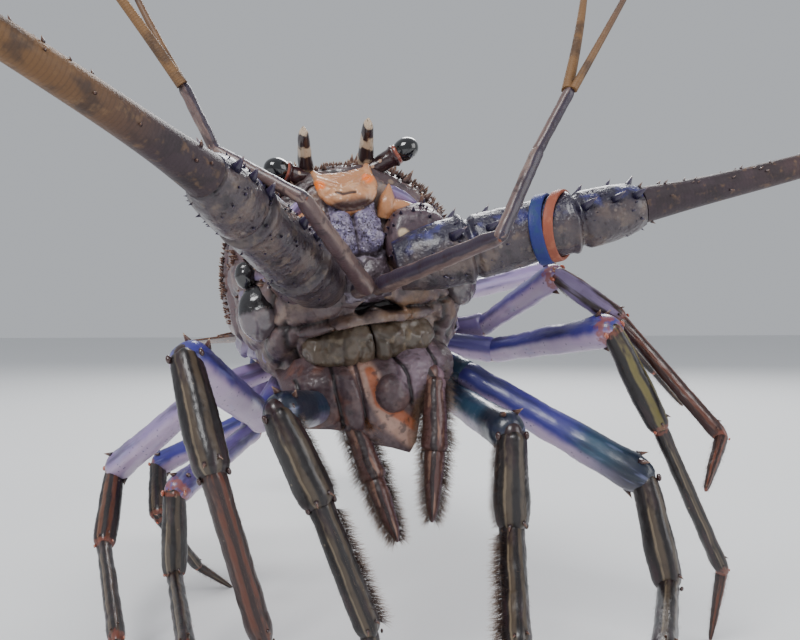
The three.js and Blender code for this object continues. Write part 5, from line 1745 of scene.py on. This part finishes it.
def leg(name):
    number = int(name[-1])
    side = SIDES[name[:-2]]
    points = leg_points(name)
    radii = LEG_RADII[number]
    lengths = LEG_LENGTHS[number]
    skin = Skin("leg_" + name)
    at, ways, sizes = [], [], []
    hair_at, hair_ways, hair_sizes, hair_roots = [], [], [], []
    for i in range(5):
        start, end, radius = points[i], points[i + 1], radii[i]
        way = unit(end - start)
        table = (LIMB, LIMB, CARPUS, LIMB, DACTYL)[i]
        if i == 3:
            table = [(s, w * mix(1, 0.86, np.clip(s, 0, 1))) for s, w in LIMB]
        hint = UP if i < 2 else FRONT
        rings, share = joint_rings(start, end, radius, table, hint, 1.08, 36, 64, 0.05 if i > 1 else 0.02)
        if i == 4:
            rings[..., 2] = np.maximum(rings[..., 2], 0.05)
        finish = (MERUS, MERUS, LEG, LEG, LEG)[i]
        if i < 2:
            knee = 0.75 * (number < 3) - 0.55 * (name == "right_2")
            tint = MERUS_TINT[name] * (0.6 if i == 0 else 1) + knee * step(0.5, 1.0, share)[:, None]
        else:
            tint = ORANGE_TINT.get(name, (0.0, 0.0, 0.0))[i - 2]
        warm = number > 2
        end_glow = dent(share, 1, 0.07) + (0.95 * dent(share, 0, 0.07) if i else 0)
        skin.add(rings, finish, tint=tint, joint=end_glow[:, None] * warm, along=share * lengths[i])
        front, aside = frame_of(way, FRONT)
        if i:
            bulge = bulb(start, (radius * 0.66, radius * 0.66, radius * 0.85), (front, aside, way), 14, 24)
            skin.add(bulge, FLESH if warm else DARK_SKIN)
            for turn in (1, -1):
                knob = start + aside * turn * radii[i - 1] * 0.8 + front * radius * 0.3
                small = radius * 0.2
                sizes_here = (small, small * 0.8, small * 1.3)
                skin.add(bulb(knob, sizes_here, (front, aside, way), 10, 14), CONDYLE if warm else DARK_KNOB)
        out = normals_of(rings)
        if 0 < i < 4:
            for turn, place in ((0.08, 0.93), (0.92, 0.9), (0.5, 0.93)):
                r, c = int(place * 63), int(turn * 36) % 36
                at.append(rings[r, c])
                ways.append(out[r, c] + 1.1 * way)
                sizes.append(radius * (0.75 if i == 1 else 0.45))
        number_here = (0, 60, 120, 420, 700)[i]
        if number_here:
            r = CHANCE.integers(6, 60, number_here)
            c = CHANCE.integers(0, 36, number_here)
            if i > 2:
                c = (np.round(c / 6) * 6 + CHANCE.normal(0, 0.6, number_here)).astype(int) % 36
            hair_at.append(rings[r, c])
            hair_ways.append(out[r, c] + 1.2 * way)
            hair_sizes.append(CHANCE.uniform(0.9, 2.2, number_here))
            hair_roots.append(np.column_stack([(i + share[r]) / 5 * 0.9 + 0.05, 0.05 + 0.9 * c / 36]))
        if number == 1 and i in (2, 3):
            fringe = 1500
            r = CHANCE.integers(8, 60, fringe)
            middle = 9 if side > 0 else 27
            c = (middle + CHANCE.normal(0, 1.6, fringe)).astype(int) % 36
            hair_at.append(rings[r, c])
            hair_ways.append(out[r, c] + 0.5 * way)
            hair_sizes.append(CHANCE.uniform(2.0, 6.0, fringe) * (0.5 if i == 2 else 1))
            hair_roots.append(np.column_stack([(i + share[r]) / 5 * 0.9 + 0.05, 0.05 + 0.9 * c / 36]))
    skin.done(("leg_upper_" + name, "leg_lower_" + name), "leg")
    spines("leg_spines_" + name, at, ways, sizes, (), 0.3)
    finish = ORANGE_BRISTLE if number > 2 else BROWN_BRISTLE
    bristles(
        "leg_setae_" + name,
        np.concatenate(hair_at),
        np.concatenate(hair_ways),
        np.concatenate(hair_sizes),
        np.concatenate(hair_roots),
        finish,
        0.016,
    )


# The abdomen

def abdomen_joints():
    joints = []
    middle = in_body(0, 109, -15)
    for i, droop in enumerate(DROOPS):
        joints.append((middle, droop, LEAN * (1 - i / len(DROOPS))))
        middle = middle + heading(90, -droop) * SEGMENT_LENGTH
    joints.append((middle, FAN_DROOP, 0.0))
    return joints


JOINTS = abdomen_joints()


def joint_frame(droop, roll):
    back = heading(90, -droop)
    rise = heading(90, 90 - droop)
    across = np.array([1.0, 0, 0]) * math.cos(math.radians(roll)) + rise * math.sin(math.radians(roll))
    return back, across, unit(np.cross(across, back))


def leaf(place, normal, thickness, rows, columns):
    """A thin blade as closed rings: its upper face, then its lower face the other way."""
    v = np.linspace(0, 1, rows)[:, None]
    u = np.linspace(-1, 1, columns)[None]
    middle = place(u, v)
    half = 0.5 * thickness(u, v)[..., None]
    top = middle + normal * half
    low = (middle - normal * half)[:, ::-1]
    return np.concatenate([top, low], axis=1), u + 0 * v, v + 0 * u


def abdomen(index):
    middle, droop, roll = JOINTS[index]
    end, end_droop, end_roll = JOINTS[index + 1]
    before = droop if index == 0 else JOINTS[index - 1][1]
    lead, trail = (droop + before) / 2, (droop + end_droop) / 2
    following = min(index + 1, 5)
    share = np.linspace(0, 1, 60)
    angle = 2 * np.pi * (np.arange(110) + 0.5) / 110
    c, s = np.cos(angle), np.sin(angle)
    power = 2 / np.where(s > 0, 2.1, 3)
    c, s = np.sign(c) * np.abs(c) ** power, np.sign(s) * np.abs(s) ** power
    swell = smooth(((0, -1.6), (0.12, -0.4), (0.42, 0.7), (0.5, -0.9), (0.58, 0.3), (0.9, 0.9), (1, 0.2)), share).ravel()
    rings = []
    for t, more in zip(share, swell):
        back, across, up = joint_frame(mix(lead, trail, t), mix(roll, end_roll, t))
        here = mix(middle, end, t) + back * (0.3 if t == 0 else 0)
        narrow = 1 - 0.42 * step(0.72, 1.0, t) ** 1.5 * (index == 5)
        wide = (mix(SEGMENT_WIDTHS[index], SEGMENT_WIDTHS[following], t) + more) * (0.3 + 0.7 * narrow)
        high = (mix(SEGMENT_HEIGHTS[index], SEGMENT_HEIGHTS[following], t) + more) * narrow
        under = mix(SEGMENT_UNDERS[index], SEGMENT_UNDERS[following], t)
        tall = np.where(angle < np.pi, high, under)
        rings.append(here + across * (wide * c)[:, None] + up * (tall * s)[:, None])
    rings = np.array(rings)
    rings = raised(rings, 0.25 * rough(rings, 5) + 0.3 * rough(rings, 14))
    tint = step(0.9, 1.0, share)[:, None] * (index < 5) + 0.8 * step(-0.55, -0.8, s)[None]
    skin = Skin("tail_ring_%d" % (index + 1)).add(rings, TAIL, tint=tint, along=share * SEGMENT_LENGTH)
    back, across, up = joint_frame(droop, roll)
    for side in SIDES.values():
        edge = middle + back * SEGMENT_LENGTH * 0.5 + across * side * (SEGMENT_WIDTHS[index] - 3.2)
        depth = SEGMENT_UNDERS[index] + PLEURON_LENGTH

        def flap(u, v):
            width = mix(9.5, 0.5, v**1.6) * (1 - 0.1 * dent((v * 4) % 1, 0.5, 0.2) * (u > 0))
            return edge + up * (1 - v * depth)[..., None] + back * (u * width + v * 3)[..., None] + across * side * (1.5 * np.sin(np.pi * v))[..., None] * 1.0

        sheet, u, v = leaf(flap, across, lambda u, v: mix(4.0, 1.0, v) * (1 - 0.5 * u**8), 30, 16)
        skin.add(sheet, TAIL, tint=np.concatenate([0.9 * v**3] * 2, axis=1))
        if 1 <= index <= 4:
            root = middle + back * SEGMENT_LENGTH * 0.55 + across * side * SEGMENT_WIDTHS[index] * 0.5
            root = root + up * (3 - SEGMENT_UNDERS[index])

            def paddle(u, v):
                width = mix(3.0, 9.0, np.sin(np.pi * v * 0.9)) * np.sqrt(np.maximum(1 - v**8, 0.04))
                return root + across * (u * width)[..., None] - up * (24 * v)[..., None] + back * (5 * v * v)[..., None]

            sheet, u, v = leaf(paddle, back, lambda u, v: 1.4 - 0.7 * u**4 + 0.3 * np.cos(9 * u), 26, 22)
            skin.add(sheet, FAN, tint=np.concatenate([v * 0.7] * 2, axis=1))
    skin.done(("abdomen_%d" % (index + 1),), "tail")


# The tail fan: angle, start, length, half width at the root and at most, and height
FAN_BLADES = {
    "telson": (0, 0, 68, 13, 17.5, 3.6),
    "inner": (20, 8, 66, 6, 16, -0.8),
    "outer": (40, 14, 66, 6, 17, -5.5),
}


def fan_blade(title, shape, side):
    turn, start, length, root, wide, layer = shape
    end = JOINTS[-1][0]
    turn = math.radians(turn) * side
    droop_at = lambda v: np.radians(FAN_DROOP * (1 - 0.75 * v))

    def place(u, v):
        half = mix(root, wide, np.sin(np.minimum(1, v * 1.25) * np.pi * 0.5))
        round_off = np.sqrt(np.maximum(0.12, 1 - np.maximum(0, (v - 0.78) / 0.24) ** 2))
        reach = v * (1 - 0.1 * u * u * v) * (math.cos(turn) * 0.9 + 0.1)
        steps = [(k + 0.5) / 8 for k in range(8)]
        down = sum(np.sin(droop_at(reach * k)) for k in steps) / 8
        out = sum(np.cos(droop_at(reach * k)) for k in steps) / 8
        aside = side * start + math.sin(turn) * length * v + u * half * round_off * math.cos(turn)
        shift = -u * half * round_off * math.sin(turn) * 0.6
        y = out * reach * length + shift * np.cos(droop_at(v)) + layer * np.sin(droop_at(v))
        z = -down * reach * length - shift * np.sin(droop_at(v)) + layer * np.cos(droop_at(v))
        return end + np.stack(np.broadcast_arrays(aside, y, z), axis=-1)

    def thickness(u, v):
        rays = 0.35 * (1 + np.cos(u * np.pi * 9)) * np.minimum(1, v * 3)
        mid = 0.9 * dent(u, 0, 0.1) * (1 - v)
        return mix(2.4, 0.9, v**0.6) + rays * (1 - 0.4 * v) + mid

    up = heading(90, 90 - FAN_DROOP * 0.6)
    rings, u, v = leaf(place, up, thickness, 80, 110)
    rim = np.maximum(v, 0.9 * np.abs(u) * step(0.1, 0.4, v))
    skin = Skin("tail_blade_" + title).add(rings, FAN, tint=np.concatenate([rim, rim[:, ::-1]], axis=1))
    skin.done((title,), "fan")
    edge = np.concatenate([np.column_stack([np.linspace(-1, 1, 900), np.ones(900)]),
                           np.column_stack([np.repeat([-1, 1], 250), np.tile(np.linspace(0.35, 1, 250), 2)])])
    uu, vv = edge[:, 0], edge[:, 1]
    at = place(uu, vv)
    inward = place(uu * 0.9, vv * 0.93)
    sizes = CHANCE.uniform(1.2, 2.6, len(edge))
    roots = np.column_stack([0.05 + 0.45 * (uu + 1), 0.05 + 0.9 * vv])
    bristles("tail_fringe_" + title, at, at - inward, sizes, roots, ORANGE_BRISTLE, 0.05)


# The two rubber bands round the left antenna: along, width, how far along they slip in front
# and on top, finish and slot
BANDS = {
    "band_blue": (47.6, 4.8, (-5.5, 1.6), BLUE_RUBBER, "blue_rubber"),
    "band_orange": (53.2, 3.8, (-6.7, 2.9), ORANGE_RUBBER, "orange_rubber"),
}
BAND_THICKNESS = 1.6


def rubber_band(name, along, width, slip, finish, slot):
    root, way, up, across = peduncle_frame("left")
    half = float(smooth(PEDUNCLE, along)[0, 0]) + 0.5
    turns = np.linspace(0, 2 * np.pi, 160, endpoint=False)
    profile = 2 * np.pi * np.arange(20) / 20
    cx = np.sign(np.cos(profile)) * np.abs(np.cos(profile)) ** 0.55 * width / 2
    cy = np.sign(np.sin(profile)) * np.abs(np.sin(profile)) ** 0.55 * BAND_THICKNESS / 2
    rings = []
    for t in turns:
        out = up * math.cos(t) + across * math.sin(t) * 0.96
        wave = slip[0] * math.sin(t) + slip[1] * math.cos(t) + 0.15 * math.sin(3 * t + 1)
        here = root + way * (along + wave) + out * (half + BAND_THICKNESS / 2 + 0.1 * math.sin(5 * t))
        tilt = 0.12 * math.sin(2 * t)
        rings.append(here + way * (cx + tilt * cy)[:, None] + out * (cy - tilt * cx)[:, None])
    rings = np.array(rings + rings[:1])
    Skin("rubber_" + name).add(rings, finish, ends=(False, False)).done((name,), slot)


# Putting the animal together

carapace()
carapace_spines()
horns()
breast()
face()
mouth_palps()
head_plate()
eyes()
mandibles()
maxillipeds()
antennules()
for name, side in SIDES.items():
    antenna_base(name, side)
    antenna_arm(name)
    flagellum(name)
    for number in LEG_ROOTS:
        leg("%s_%d" % (name, number))
for index in range(6):
    abdomen(index)
fan_blade("telson", FAN_BLADES["telson"], 1)
for name, side in SIDES.items():
    fan_blade("uropod_inner_" + name, FAN_BLADES["inner"], side)
    fan_blade("uropod_outer_" + name, FAN_BLADES["outer"], side)
for name, size in BANDS.items():
    rubber_band(name, *size)


# Floor, lights and camera

def floor_and_lights():
    bpy.ops.mesh.primitive_plane_add(size=14)
    floor = bpy.context.object
    floor.name = "floor"
    cloth = Finish("pale floor", "#e4e5e6", 0.8).done()
    floor.data.materials.append(cloth)
    world = bpy.data.worlds.new("studio")
    bpy.context.scene.world = world
    world.use_nodes = True
    sky = world.node_tree.nodes["Background"]
    sky.inputs["Color"].default_value = linear("#e6eaf0")
    sky.inputs["Strength"].default_value = 0.62
    middle = Vector((0.0, -0.05, 0.13))
    for name, place, size, power in (
        ("key", (-0.9, -1.1, 1.6), 0.8, 34),
        ("fill", (1.5, -1.0, 0.8), 1.2, 14),
        ("rim", (0.5, 1.4, 1.3), 0.8, 22),
    ):
        lamp = bpy.data.lights.new(name, "AREA")
        lamp.size = size
        lamp.energy = power
        holder = bpy.data.objects.new(name, lamp)
        bpy.context.scene.collection.objects.link(holder)
        holder.location = place
        holder.rotation_euler = (middle - Vector(place)).to_track_quat("-Z", "Y").to_euler()


def camera():
    lens = bpy.data.cameras.new("camera")
    lens.lens = CAMERA_LENS
    lens.sensor_width = 36
    lens.clip_start = 0.01
    eye = bpy.data.objects.new("camera", lens)
    bpy.context.scene.collection.objects.link(eye)
    eye.location = CAMERA_PLACE * MM
    eye.rotation_euler = (math.radians(90), 0, math.radians(-CAMERA_YAW))
    bpy.context.scene.camera = eye


floor_and_lights()
camera()
